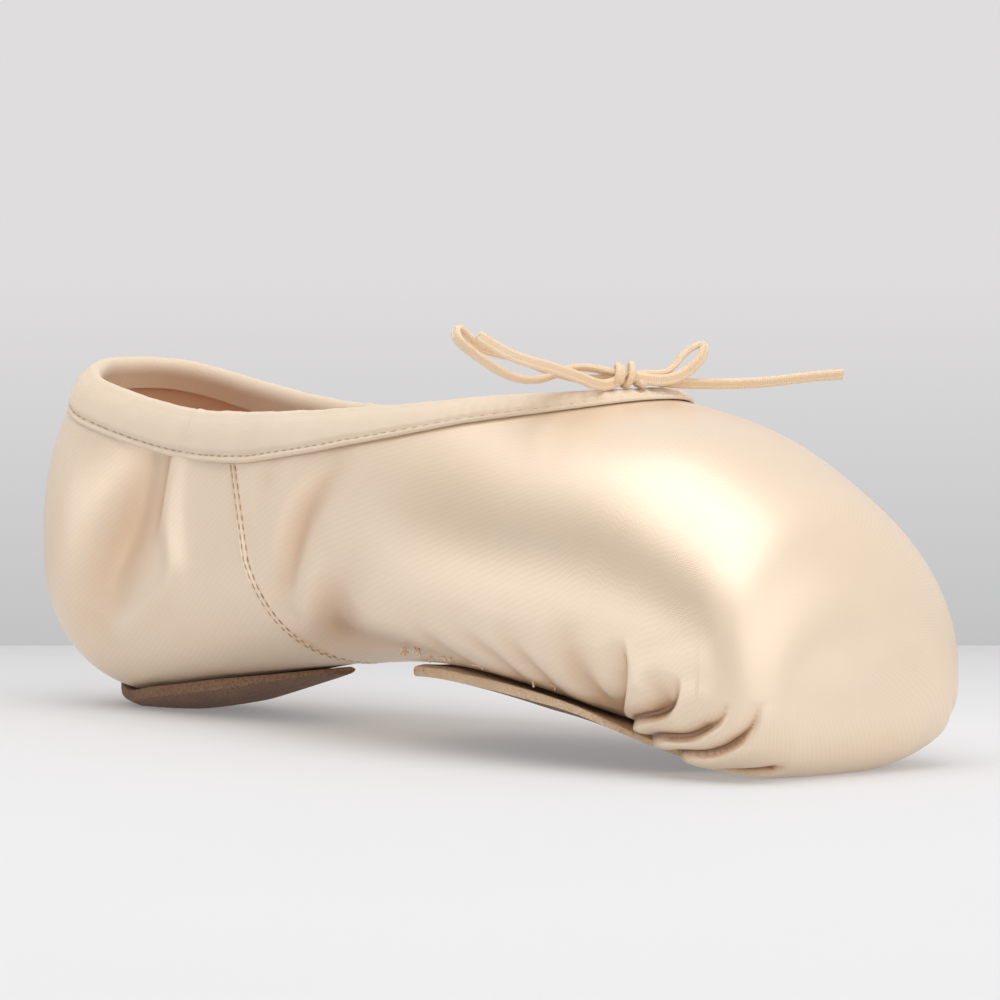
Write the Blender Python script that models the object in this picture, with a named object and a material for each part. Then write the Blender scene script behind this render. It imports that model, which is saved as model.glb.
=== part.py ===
"""One pointe shoe: satin upper, collar binding, split leather sole, insole and a tied drawstring bow.

Metres, +Z up. X runs from the heel to the toe, Y across, and the shoe stands on z = 0.
"""

import math

import bmesh
import bpy
import numpy as np

# Driving sizes of the form that the shoe is built on
LENGTH = 0.226
BALL_WIDTH = 0.080
HEEL_HEIGHT = 0.072
INSTEP_HEIGHT = 0.0675
ARCH_RISE = 0.0135
TOE_EDGE_RADIUS = 0.010

# Walls and the pieces that are added to the form
QUARTER_WALL = 0.0012
BOX_WALL = 0.0024
SEAM_LAP = 0.0004
SOLE_THICKNESS = 0.0025
HEEL_PAD_THICKNESS = 0.0025
INSOLE_THICKNESS = 0.0015
BINDING_THICKNESS = 0.0008
BINDING_WIDTH = 0.0085
CASING_WIDTH = 0.0055
CORD_DIAMETER = 0.0022
CLEARANCE = 0.0003
PLATE_CLEARANCE = 0.0004
CASING_ROOM = 0.0006

# Sections from heel to toe. Across is a share of half the ball width, keel of the arch rise,
# girth and crown of the instep height, and collar of the heel height. Low and high are the
# powers of the two quarter curves below and above the girth line. Behind the throat the crown is
# cut away, and it stays over the collar's rim.
COLUMNS = ("share", "across", "keel", "girth", "crown", "collar", "low", "high")
SECTIONS = (
    (0.00, 0.65, 0.00, 0.480, 1.16, 0.975, 2.2, 2.2),
    (0.09, 0.67, 0.00, 0.500, 1.13, 0.965, 2.2, 2.2),
    (0.17, 0.65, 0.00, 0.490, 1.17, 0.920, 2.2, 2.2),
    (0.295, 0.64, 0.30, 0.475, 1.25, 0.855, 2.2, 2.2),
    (0.41, 0.73, 0.68, 0.510, 1.21, 0.850, 2.2, 2.2),
    (0.535, 0.87, 0.86, 0.515, 1.13, 0.870, 2.3, 2.2),
    (0.65, 0.96, 0.82, 0.485, 1.09, 0.835, 2.4, 2.1),
    (0.755, 0.94, 0.58, 0.450, 1.01, 0.790, 2.5, 2.1),
    (0.86, 0.87, 0.19, 0.390, 0.93, 0.750, 3.0, 2.2),
    (0.95, 0.80, -0.26, 0.310, 0.76, 0.700, 2.9, 2.2),
    (1.00, 0.76, -0.05, 0.280, 0.64, 0.650, 2.6, 2.2),
)
CROWN_OVER_RIM = 1.04
RIM_LIMIT = 0.97

# Where along the form its parts change, as shares of its length
HEEL_TURN = 0.17
THROAT_START = 0.485
THROAT_END = 0.755
TOE_FLAT = 0.932
SEAM_FOOT = 0.45
SEAM_SWEEP = 0.085
LAP_SHARE = 0.12
SEAM_APPROACH = 0.03
CASING_FROM = 0.41
CASING_TO = 0.66

# Ribs and columns of the meshes, and the small steps that their making takes
HEEL_RIBS = 7
QUARTER_RIBS = 10
WAIST_RIBS = 2
THROAT_RIBS = 11
TOE_RIBS = 7
FLAT_RIBS = 3
EDGE_RIBS = 4
GIRTH_COLUMNS = 16
SEAM_GAP_SHARE = 0.006
FOREFOOT_SOLE_COLUMNS = 10
FOREFOOT_SOLE_ROWS = 16
HEEL_PAD_COLUMNS = 8
HEEL_PAD_ROWS = 14
INSOLE_COLUMNS = 8
INSOLE_ROWS = 24
SHARP_ANGLE = math.radians(40)
MERGE_DISTANCE = 1e-6
PLAN_STEP = 5e-4
SHARE_STEP = 1e-3
WALK_STEP = 0.0015

# Openings under the soles, in columns from the keel line
HEEL_OPENING_COLUMNS = 1
HEEL_OPENING_END = 0.34
FOREFOOT_OPENING_COLUMNS = 3
FOREFOOT_OPENING = (0.64, 0.83)

# Half widths of the leather soles and the insole along them, as shares of half the ball width
FOREFOOT_SOLE = ((0.0, 0.42), (0.25, 0.60), (0.5, 0.70), (0.78, 0.76), (1.0, 0.66))
HEEL_PAD = ((0.0, 0.24), (0.3, 0.31), (0.6, 0.30), (1.0, 0.22))
INSOLE = ((0.0, 0.30), (0.12, 0.40), (0.4, 0.38), (0.7, 0.62), (0.88, 0.62), (1.0, 0.50))
FOREFOOT_SOLE_ENDS = (0.55, 0.90)
HEEL_PAD_ENDS = (0.055, 0.395)
INSOLE_ENDS = (0.06, 0.93)
SOLE_CUP = 0.75
SOLE_SKIVE = 0.45
SKIVE_FROM = 0.6
HEEL_FLAT = 0.001
END_ROUNDNESS = 2.6
END_BLUNTNESS = 0.3
SQUARE_CUT = 0.8
ROLL_SHOULDER = 0.6

# Route points of the drawstring bow, in millimetres from where a cord lies on the casing at the
# throat's centre
KNOT_CENTRE = (0.5, -4.5, 2.2)
KNOT_TURNS = 2
KNOT_RADIUS = 1.9
KNOT_PITCH = 2.5
KNOT_TAIL = 3.2
BOW_SPREAD = (0.349, 0.937)
LEFT_LOOP = (
    (-1.2, -8.2, 3.9), (-4.0, -13.7, 3.4), (-6.3, -19.9, 1.8), (-8.3, -25.6, 1.9),
    (-10.4, -31.2, 5.2), (-12.0, -35.0, 8.4), (-12.9, -37.2, 10.8), (-13.9, -36.0, 13.0),
    (-13.0, -31.5, 11.1), (-10.6, -24.5, 7.6), (-8.3, -17.5, 4.0), (-5.8, -12.0, 2.2),
    (-2.6, -7.8, 1.6),
)
LEFT_END = (
    (0.6, -8.9, 0.7), (0.2, -14.0, 2.5), (-0.9, -21.5, 5.3), (-2.1, -28.0, 8.6),
    (-3.4, -33.2, 11.0),
)
RIGHT_LOOP = (
    (1.9, -0.6, 3.5), (3.6, 3.8, 4.2), (4.9, 7.3, 6.8), (5.9, 10.3, 9.2), (7.1, 12.0, 9.2),
    (7.9, 11.0, 6.8), (7.0, 8.6, 4.0), (5.6, 4.8, 1.5), (3.3, -1.2, 0.9),
)
RIGHT_END = (
    (0.5, -0.1, 0.8), (3.0, 6.5, 0.7), (6.1, 14.7, 0.6), (9.8, 23.0, 0.7), (13.5, 31.5, 1.4),
    (15.8, 38.0, 2.0),
)
ROUTE_STEP = 3.4
KNOT_STEPS_A_TURN = 8

# Colour and roughness of each material
SATIN = ((0.80, 0.66, 0.50), 0.35)
MATTE_CLOTH = ((0.76, 0.63, 0.47), 0.7)
RAW_LEATHER = ((0.42, 0.29, 0.19), 0.8)
LINING = ((0.55, 0.40, 0.32), 0.8)

SOLE_PLANE = HEEL_PAD_THICKNESS + PLATE_CLEARANCE
BODY_START = SECTIONS[0][1] * BALL_WIDTH / 2
BODY_LENGTH = LENGTH - BODY_START
TOE_EDGE_SHARE = TOE_EDGE_RADIUS / BODY_LENGTH * (1 - HEEL_TURN)


def natural_spline(rows):
    """A function that reads smooth values between the rows, by their first column."""
    table = np.array(rows, dtype=float)
    places, values = table[:, 0], table[:, 1:]
    gaps = np.diff(places)
    count = len(places)
    system = np.zeros((count, count))
    right = np.zeros_like(values)
    system[0, 0] = system[-1, -1] = 1.0
    for i in range(1, count - 1):
        system[i, i - 1 : i + 2] = gaps[i - 1], 2 * (gaps[i - 1] + gaps[i]), gaps[i]
        rise = (values[i + 1] - values[i]) / gaps[i]
        run_in = (values[i] - values[i - 1]) / gaps[i - 1]
        right[i] = 6 * (rise - run_in)
    bend = np.linalg.solve(system, right)

    def read(place):
        i = int(np.clip(np.searchsorted(places, place) - 1, 0, count - 2))
        after, before = place - places[i], places[i + 1] - place
        cubic = (bend[i] * before**3 + bend[i + 1] * after**3) / (6 * gaps[i])
        low = (values[i] / gaps[i] - bend[i] * gaps[i] / 6) * before
        high = (values[i + 1] / gaps[i] - bend[i + 1] * gaps[i] / 6) * after
        return cubic + low + high

    return read


read_section = natural_spline(SECTIONS)


def section(share):
    """The form's section at a share of its length, in metres."""
    row = dict(zip(COLUMNS[1:], read_section(share)))
    row["across"] *= BALL_WIDTH / 2
    row["keel"] = SOLE_PLANE + row["keel"] * ARCH_RISE
    row["girth"] *= INSTEP_HEIGHT
    row["crown"] *= INSTEP_HEIGHT
    row["collar"] *= HEEL_HEIGHT
    if share < THROAT_START:
        row["crown"] = max(row["crown"], row["collar"] * CROWN_OVER_RIM)
    return row


def rim_level(row):
    """The rib angle at the height that a section's collar column gives."""
    height = (row["collar"] - row["girth"]) / (row["crown"] - row["girth"])
    return math.asin(min(RIM_LIMIT, max(0.0, height)) ** (row["high"] / 2))


def collar_angle(share):
    """The rib angle of the collar's rim: 90 degrees past the throat, where the rib closes."""
    if share >= THROAT_END:
        return math.pi / 2
    into_throat = max(0.0, (share - THROAT_START) / (THROAT_END - THROAT_START))
    return math.acos(math.cos(rim_level(section(share))) * math.sqrt(1 - into_throat**2))


def form_point(share, angle, inset=0.0):
    """A point of the form on its +Y half: angle -90 is the keel line, 0 the girth, 90 the crown."""
    row = section(share)
    turn = max(0.0, 1 - share / HEEL_TURN)
    heading = math.pi / 2 * (1 + turn)
    along = max(0.0, (share - HEEL_TURN) / (1 - HEEL_TURN))
    base = BODY_START + along * BODY_LENGTH
    sideways, upright = abs(math.cos(angle)), abs(math.sin(angle))
    flank = math.copysign(row["across"] - inset, math.cos(angle))
    if angle < 0:
        reach = flank * sideways ** (2 / row["low"])
        drop = (row["girth"] - row["keel"] - inset) * upright ** (2 / row["low"])
        height = row["girth"] - drop
    else:
        reach = flank * sideways ** (2 / row["high"])
        height = row["girth"] + (row["crown"] - inset - row["girth"]) * upright ** (2 / row["high"])
    return np.array([
        base + reach * math.cos(heading) - LENGTH / 2,
        reach * math.sin(heading),
        max(height, inset),
    ])


def wall(share):
    """The upper's wall: thin quarters, and a stiff box at the toe."""
    stiff = min(1.0, max(0.0, (share - THROAT_START) / (THROAT_END - THROAT_START)))
    return QUARTER_WALL + (BOX_WALL - QUARTER_WALL) * stiff


def seam_share(up):
    """Where the side seam runs, at a height up the rib from the keel line to the collar."""
    return SEAM_FOOT - SEAM_SWEEP * up**3


def swept_share(share, up):
    """Bends the ribs beside the side seam so that one pair of them follows it."""
    if share < SEAM_FOOT:
        near = (share - HEEL_TURN) / (SEAM_FOOT - HEEL_TURN)
    else:
        near = (THROAT_END - share) / (THROAT_END - SEAM_FOOT)
    return share - SEAM_SWEEP * up**3 * max(0.0, near)


def lap(share, up):
    """How far the front panel stands proud of the form where it laps the quarter."""
    ahead = share - seam_share(up)
    if ahead < 0 or up > 1:
        return 0.0
    return SEAM_LAP * max(0.0, 1 - ahead / LAP_SHARE)


def underside(x, y, inset=0.0):
    """The height of the form's underside at a place in plan."""
    ahead = x + LENGTH / 2 - BODY_START
    if ahead < 0:
        share = HEEL_TURN * (1 - math.atan2(-ahead, abs(y)) / (math.pi / 2))
        reach = math.hypot(ahead, y)
    else:
        share = HEEL_TURN + (1 - HEEL_TURN) * ahead / BODY_LENGTH
        reach = abs(y)
    row = section(min(share, 1.0))
    out = min(0.999, reach / (row["across"] - inset))
    drop = (row["girth"] - row["keel"] - inset) * (1 - out ** row["low"]) ** (1 / row["low"])
    return max(row["girth"] - drop, inset)


def length_place(share):
    """The X of a share of the form's length, on its middle line."""
    along = (share - HEEL_TURN) / (1 - HEEL_TURN)
    back = (share / HEEL_TURN - 1) * section(0.0)["across"]
    return BODY_START - LENGTH / 2 + (along * BODY_LENGTH if along > 0 else back)


def add_material(name, colour, roughness):
    material = bpy.data.materials.new(name)
    material.use_nodes = True
    shader = material.node_tree.nodes["Principled BSDF"]
    shader.inputs["Base Color"].default_value = (*colour, 1.0)
    shader.inputs["Roughness"].default_value = roughness
    shader.inputs["Metallic"].default_value = 0.0
    material.diffuse_color = (*colour, 1.0)
    return material


def add_object(name, mesh_builder, material):
    """Turns a closed bmesh into an object of the scene, with its faces pointing out."""
    bmesh.ops.remove_doubles(mesh_builder, verts=mesh_builder.verts, dist=MERGE_DISTANCE)
    bmesh.ops.recalc_face_normals(mesh_builder, faces=mesh_builder.faces)
    mesh = bpy.data.meshes.new(name)
    mesh_builder.to_mesh(mesh)
    mesh_builder.free()
    mesh.materials.append(material)
    mesh.shade_smooth()
    mesh.set_sharp_from_angle(angle=SHARP_ANGLE)
    piece = bpy.data.objects.new(name, mesh)
    bpy.context.collection.objects.link(piece)
    return piece


def add_face(builder, corners):
    """A face through corners, leaving out those that fall on one another."""
    loop = []
    for corner in corners:
        if all((corner.co - other.co).length > MERGE_DISTANCE for other in loop):
            loop.append(corner)
    if len(loop) > 2:
        builder.faces.new(loop)


def rib_list():
    """Each rib of the upper as its share and, round the toe's edge, its angle."""
    seam_pair = SEAM_FOOT - SEAM_GAP_SHARE
    shares = list(np.linspace(0, HEEL_TURN, HEEL_RIBS)[:-1])
    shares += list(np.linspace(HEEL_TURN, seam_pair, QUARTER_RIBS))
    shares += list(np.linspace(SEAM_FOOT, THROAT_START, WAIST_RIBS)[:-1])
    opening = np.sin(np.linspace(0, math.pi / 2, THROAT_RIBS))
    shares += list(THROAT_START + (THROAT_END - THROAT_START) * opening[:-1])
    shares += list(np.linspace(THROAT_END, TOE_FLAT, TOE_RIBS)[:-1])
    shares += list(np.linspace(TOE_FLAT, 1 - TOE_EDGE_SHARE, FLAT_RIBS))
    ribs = [(share, 0.0) for share in shares]
    for edge in np.linspace(0, math.pi / 2, EDGE_RIBS + 1)[1:]:
        ribs.append((1 - TOE_EDGE_SHARE * (1 - math.sin(edge)), edge))
    return ribs


def rib_points(share, edge, side, inside):
    """The points of half a rib from the keel line up, on the outer or the inner face."""
    points = []
    for column in range(GIRTH_COLUMNS + 1):
        up = column / GIRTH_COLUMNS
        place = swept_share(share, up)
        top = collar_angle(place)
        angle = -math.pi / 2 + up * (top + math.pi / 2)
        inset = TOE_EDGE_RADIUS * (1 - math.cos(edge))
        if inside:
            inset += wall(place) * math.cos(edge)
        elif share >= SEAM_FOOT:
            inset -= lap(place, up)
        x, y, z = form_point(place, angle, inset)
        behind = wall(place) * math.sin(edge) if inside else 0.0
        points.append((x - behind, side * y, z))
    return points


def opened(rib, column, ribs):
    """Whether the cell ahead of a rib and above a column lies in an opening under a sole."""
    share = ribs[rib][0]
    heel = share < HEEL_OPENING_END and column < HEEL_OPENING_COLUMNS
    start, end = FOREFOOT_OPENING
    forefoot = start <= share < end and column < FOREFOOT_OPENING_COLUMNS
    return heel or forefoot


def make_upper(material):
    ribs = rib_list()
    builder = bmesh.new()
    for side in (1, -1):
        faces = []
        for inside in (False, True):
            grid = [
                [builder.verts.new(point) for point in rib_points(share, edge, side, inside)]
                for share, edge in ribs
            ]
            faces.append(grid)
        for i in range(len(ribs) - 1):
            for j in range(GIRTH_COLUMNS):
                if opened(i, j, ribs):
                    continue
                for grid in faces:
                    add_face(builder, (grid[i][j], grid[i + 1][j], grid[i + 1][j + 1], grid[i][j + 1]))
        add_rims(builder, faces[0], faces[1], ribs)
        for grid in faces:
            close_platform(builder, grid[-1])
    return add_object("upper", builder, material)


def add_rims(builder, outer, inner, ribs):
    """The wall's edges: the collar's rim, and the sides of the openings under the soles."""
    for i in range(len(ribs) - 1):
        if ribs[i][0] < THROAT_END:
            add_face(builder, (outer[i][-1], outer[i + 1][-1], inner[i + 1][-1], inner[i][-1]))
        for j in range(GIRTH_COLUMNS):
            here = opened(i, j, ribs)
            if j and here != opened(i, j - 1, ribs):
                add_face(builder, (outer[i][j], outer[i + 1][j], inner[i + 1][j], inner[i][j]))
            if i and here != opened(i - 1, j, ribs):
                add_face(builder, (outer[i][j], outer[i][j + 1], inner[i][j + 1], inner[i][j]))


def close_platform(builder, rib):
    """Closes half of the toe's flat end, with rows across it from the rib to the middle plane."""
    middle = [builder.verts.new((vertex.co.x, 0.0, vertex.co.z)) for vertex in rib]
    for j in range(GIRTH_COLUMNS):
        add_face(builder, (rib[j], rib[j + 1], middle[j + 1], middle[j]))


def plate_rings(ends, widths, columns, rows, rear_bluntness=END_BLUNTNESS):
    """The plan of a sole: rows of places across it, with rounded ends."""
    start, end = (length_place(share) for share in ends)
    places, halves = zip(*widths)
    plan = []
    for row in range(rows + 1):
        along = 0.5 - 0.5 * math.cos(math.pi * row / rows)
        rounding = (1 - abs(2 * along - 1) ** END_ROUNDNESS) ** (1 / END_ROUNDNESS)
        bluntness = rear_bluntness if along < 0.5 else END_BLUNTNESS
        half = BALL_WIDTH / 2 * np.interp(along, places, halves) * max(rounding, bluntness)
        x = start + along * (end - start)
        plan.append([(x, half * (2 * k / columns - 1), along) for k in range(columns + 1)])
    return plan


def make_plate(name, plan, top_height, bottom_height, material):
    """A closed plate over a plan, between two heights that each place and share along give."""
    builder = bmesh.new()
    layers = []
    for height in (bottom_height, top_height):
        layers.append([
            [builder.verts.new((x, y, height(x, y, along))) for x, y, along in row]
            for row in plan
        ])
    bottom, top = layers
    last_row, last_column = len(plan) - 1, len(plan[0]) - 1
    for i in range(last_row):
        for j in range(last_column):
            for layer in layers:
                corners = (layer[i][j], layer[i + 1][j], layer[i + 1][j + 1], layer[i][j + 1])
                add_face(builder, corners)
        for j in (0, last_column):
            add_face(builder, (bottom[i][j], bottom[i + 1][j], top[i + 1][j], top[i][j]))
    for j in range(last_column):
        for i in (0, last_row):
            add_face(builder, (bottom[i][j], bottom[i][j + 1], top[i][j + 1], top[i][j]))
    return add_object(name, builder, material)


def slant(x, y, inset=0.0):
    """How much longer an upright gap is than the gap square to the underside."""
    step = PLAN_STEP
    ahead = (underside(x + step, y, inset) - underside(x - step, y, inset)) / (2 * step)
    aside = (underside(x, y + step, inset) - underside(x, y - step, inset)) / (2 * step)
    return math.sqrt(1 + ahead**2 + aside**2)


def cupped_underside(x, y, along):
    """The top of a leather sole: near the upper, and a little flatter across than it."""
    middle = underside(x, 0.0)
    return middle + SOLE_CUP * (underside(x, y) - middle) - PLATE_CLEARANCE * slant(x, y)


def skived(along):
    """The share of a sole's thickness that is left where it thins towards its front end."""
    return 1 - (1 - SOLE_SKIVE) * max(0.0, (along - SKIVE_FROM) / (1 - SKIVE_FROM))


def make_forefoot_sole(material):
    def bottom(x, y, along):
        return max(CLEARANCE, cupped_underside(x, y, along) - SOLE_THICKNESS * skived(along))

    columns, rows = FOREFOOT_SOLE_COLUMNS, FOREFOOT_SOLE_ROWS
    plan = plate_rings(FOREFOOT_SOLE_ENDS, FOREFOOT_SOLE, columns, rows, SQUARE_CUT)
    return make_plate("forefoot_sole", plan, cupped_underside, bottom, material)


def make_heel_sole(material):
    def bottom(x, y, along):
        thickness = (HEEL_PAD_THICKNESS + HEEL_FLAT) * skived(along)
        return max(0.0, cupped_underside(x, y, along) - thickness)

    plan = plate_rings(HEEL_PAD_ENDS, HEEL_PAD, HEEL_PAD_COLUMNS, HEEL_PAD_ROWS)
    return make_plate("heel_sole", plan, cupped_underside, bottom, material)


def make_insole(material):
    start, end = INSOLE_ENDS

    def bottom(x, y, along):
        thick = wall(start + along * (end - start))
        return underside(x, y, thick) + PLATE_CLEARANCE * slant(x, y, thick)

    def top(x, y, along):
        return bottom(x, y, along) + INSOLE_THICKNESS

    plan = plate_rings(INSOLE_ENDS, INSOLE, INSOLE_COLUMNS, INSOLE_ROWS)
    return make_plate("insole", plan, top, bottom, material)


def rim_place(turn):
    """The share and rib angle of the collar's rim: turn runs 0 to 1 along the side, then to the throat."""
    if turn < 1:
        share = THROAT_START * turn
        return share, collar_angle(share)
    opening = (turn - 1) * math.pi / 2
    share = THROAT_START + (THROAT_END - THROAT_START) * math.sin(opening)
    return share, math.acos(math.cos(rim_level(section(share))) * math.cos(opening))


def slopes(share, angle):
    """How the form's point moves with its share and with its angle."""
    step = SHARE_STEP
    along = form_point(share + step, angle) - form_point(share - step, angle)
    upward = form_point(share, angle + step) - form_point(share, angle - step)
    return along / (2 * step), upward / (2 * step)


def down_the_side(turn, depths):
    """Places of the form at depths below the collar's rim, and the direction down from the rim."""
    step = SHARE_STEP
    before, after = (form_point(*rim_place(turn + side * step)) for side in (-1, 1))
    rim_line = (after - before) / np.linalg.norm(after - before)
    place = np.array(rim_place(turn))
    down = np.cross(outward(place), rim_line)
    found = []
    reached = 0.0
    for depth in depths:
        while depth - reached > MERGE_DISTANCE:
            stride = min(depth - reached, WALK_STEP)
            along = np.cross(outward(place), rim_line) * stride
            place = place + np.linalg.lstsq(np.stack(slopes(*place), 1), along, rcond=None)[0]
            reached += stride
        found.append(place)
    return found, down


def outward(place):
    """The form's outward normal at a share and angle."""
    along, upward = slopes(*place)
    normal = np.cross(upward, along)
    return normal / np.linalg.norm(normal)


def lap_cover(share):
    """Lifts the binding over the step of the side seam."""
    ahead = share - (SEAM_FOOT - SEAM_SWEEP)
    return SEAM_LAP * max(0.0, 1 - (ahead / LAP_SHARE if ahead > 0 else -ahead / SEAM_APPROACH))


def binding_ring(turn):
    """The U section of the binding over the rim at one place, outer leg first."""
    share = rim_place(turn)[0]
    narrow = min(1.0, max(0.0, (share - CASING_FROM) / (CASING_TO - CASING_FROM)))
    width = BINDING_WIDTH + (CASING_WIDTH - BINDING_WIDTH) * narrow
    places, down = down_the_side(turn, (0.0, width / 2, width))
    near = CLEARANCE + lap_cover(share)
    thick = wall(share) + CASING_ROOM
    rim, normal = form_point(*places[0]), outward(places[0])
    inner_rim = form_point(*places[0], inset=thick)
    over = BINDING_THICKNESS + CLEARANCE
    outside = [form_point(*place) + outward(place) * near for place in places]
    outer = [form_point(*place) + outward(place) * (near + BINDING_THICKNESS) for place in places]
    inside = [form_point(*place, inset=thick) for place in places[:2]]
    inner = [form_point(*place, inset=thick + BINDING_THICKNESS) for place in places[:2]]
    top = [
        outer[0] - down * over * ROLL_SHOULDER,
        (rim + inner_rim) / 2 - down * over,
        inner[0] - down * over * ROLL_SHOULDER,
    ]
    under = [inner_rim - down * CLEARANCE, rim + normal * near - down * CLEARANCE]
    return [*outer[::-1], *top, *inner, *inside[::-1], *under, *outside]


def turn_at(share):
    """Where along the rim a share of the form lies: the inverse of rim_place."""
    if share < THROAT_START:
        return share / THROAT_START
    into_throat = (share - THROAT_START) / (THROAT_END - THROAT_START)
    return 1 + math.asin(min(1.0, into_throat)) / (math.pi / 2)


def make_binding(material):
    shares = [share for share, edge in rib_list() if share <= THROAT_END and edge == 0]
    half = [binding_ring(turn_at(swept_share(share, 1.0))) for share in shares]
    mirror = np.array([1, -1, 1])
    rings = half + [[point * mirror for point in ring] for ring in reversed(half[1:-1])]
    builder = bmesh.new()
    loops = [[builder.verts.new(point) for point in ring] for ring in rings]
    for ring, following in zip(loops, loops[1:] + loops[:1]):
        for k in range(len(ring)):
            after = (k + 1) % len(ring)
            add_face(builder, (ring[k], ring[after], following[after], following[k]))
    return add_object("collar_binding", builder, material)


def smooth_route(points):
    """Points of a smooth curve through a route, a step apart."""
    route = np.array(points)
    runs = np.linalg.norm(np.diff(route, axis=0), axis=1)
    places = np.concatenate([[0.0], np.cumsum(runs)])
    read = natural_spline(np.column_stack([places, route]))
    count = max(2, round(places[-1] / ROUTE_STEP))
    return [read(place) for place in np.linspace(0, places[-1], count + 1)]


def knot_route():
    """Two turns about the bow's own line, with a tail on each side that goes to the casing."""
    line = np.array([*BOW_SPREAD, 0.0])
    across = np.array([BOW_SPREAD[1], -BOW_SPREAD[0], 0.0])
    centre = np.array(KNOT_CENTRE)
    start = centre - line * KNOT_PITCH * KNOT_TURNS / 2
    points = [start - across * KNOT_TAIL - np.array([0.0, 0.0, KNOT_RADIUS])]
    steps = KNOT_TURNS * KNOT_STEPS_A_TURN
    for step in range(steps + 1):
        angle = 2 * math.pi * step / KNOT_STEPS_A_TURN
        round_it = across * math.sin(angle) - np.array([0.0, 0.0, math.cos(angle)])
        along = line * KNOT_PITCH * step / KNOT_STEPS_A_TURN
        points.append(start + along + round_it * KNOT_RADIUS)
    end = centre + line * KNOT_PITCH * KNOT_TURNS / 2
    points.append(end + across * KNOT_TAIL - np.array([0.0, 0.0, KNOT_RADIUS]))
    return points


def make_cord(name, route, material):
    """A round cord along a route that is given in millimetres from the casing's top."""
    curve = bpy.data.curves.new(name, "CURVE")
    curve.dimensions = "3D"
    curve.bevel_depth = CORD_DIAMETER / 2
    curve.bevel_resolution = 2
    curve.use_fill_caps = True
    spline = curve.splines.new("POLY")
    spline.points.add(len(route) - 1)
    casing_top = form_point(THROAT_END, math.pi / 2)
    casing_top[2] += CLEARANCE + BINDING_THICKNESS + CORD_DIAMETER / 2
    for knot, point in zip(spline.points, route):
        knot.co = (*(casing_top + np.array(point) / 1000), 1.0)
    curve.materials.append(material)
    cord = bpy.data.objects.new(name, curve)
    bpy.context.collection.objects.link(cord)
    return cord


def main():
    for item in list(bpy.data.objects):
        bpy.data.objects.remove(item, do_unlink=True)
    satin = add_material("satin", *SATIN)
    matte_cloth = add_material("matte_cloth", *MATTE_CLOTH)
    raw_leather = add_material("raw_leather", *RAW_LEATHER)
    lining = add_material("lining", *LINING)
    make_upper(satin)
    make_binding(matte_cloth)
    make_forefoot_sole(raw_leather)
    make_heel_sole(raw_leather)
    make_insole(lining)
    make_cord("drawstring_knot", knot_route(), satin)
    make_cord("bow_loop_left", smooth_route(LEFT_LOOP), satin)
    make_cord("bow_end_left", smooth_route(LEFT_END), satin)
    make_cord("bow_loop_right", smooth_route(RIGHT_LOOP), satin)
    make_cord("bow_end_right", smooth_route(RIGHT_END), satin)


main()
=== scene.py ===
"""The looks of one pointe shoe: satin over a stiff toe box, a cloth binding, leather soles and a bow.

Metres, +Z up. X runs from the heel to the toe, and the camera stands on the -Y side.
"""

import math

import bmesh
import bpy
import numpy as np
from mathutils import Matrix, Vector


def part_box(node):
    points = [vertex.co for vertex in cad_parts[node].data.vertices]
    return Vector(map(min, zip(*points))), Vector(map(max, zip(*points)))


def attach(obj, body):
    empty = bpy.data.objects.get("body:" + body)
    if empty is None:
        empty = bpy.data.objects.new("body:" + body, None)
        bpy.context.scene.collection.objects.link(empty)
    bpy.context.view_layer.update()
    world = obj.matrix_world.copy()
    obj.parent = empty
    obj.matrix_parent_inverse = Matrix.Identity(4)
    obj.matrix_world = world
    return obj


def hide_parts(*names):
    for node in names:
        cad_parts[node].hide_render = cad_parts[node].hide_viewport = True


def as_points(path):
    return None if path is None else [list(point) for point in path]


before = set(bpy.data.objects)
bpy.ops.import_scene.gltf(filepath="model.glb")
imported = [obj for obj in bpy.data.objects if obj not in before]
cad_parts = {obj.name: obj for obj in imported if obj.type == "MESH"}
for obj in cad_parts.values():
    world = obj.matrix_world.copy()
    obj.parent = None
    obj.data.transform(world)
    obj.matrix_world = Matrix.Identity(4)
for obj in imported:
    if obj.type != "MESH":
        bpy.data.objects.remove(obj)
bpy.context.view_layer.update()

# Driving sizes of the form, as the part has them
upper_low, upper_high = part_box("upper")
LENGTH = upper_high[0] - upper_low[0]
BALL_WIDTH = 0.080
HEEL_HEIGHT = 0.072
INSTEP_HEIGHT = 0.0675
ARCH_RISE = 0.0135
QUARTER_WALL = 0.0012
BOX_WALL = 0.0024
SEAM_LAP = 0.0004
SOLE_THICKNESS = 0.0025
HEEL_PAD_THICKNESS = 0.0025
INSOLE_THICKNESS = 0.0015
BINDING_THICKNESS = 0.0008
BINDING_WIDTH = 0.0085
CASING_WIDTH = 0.0055
CORD_DIAMETER = 0.0022
CLEARANCE = 0.0003
PLATE_CLEARANCE = 0.0004
CASING_ROOM = 0.0006

# The toe's rounded edge: its depth, how much deeper it grows towards the top and from what height
# up the rib, the power of its curve, and how far the toe's face bulges
TOE_EDGE_DEPTH = 0.0095
TOE_TOP_SOFTNESS = 0.008
TOE_TOP_FROM = 0.25
TOE_EDGE_POWER = 2.5
TOE_CROWN = 0.0007

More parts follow.
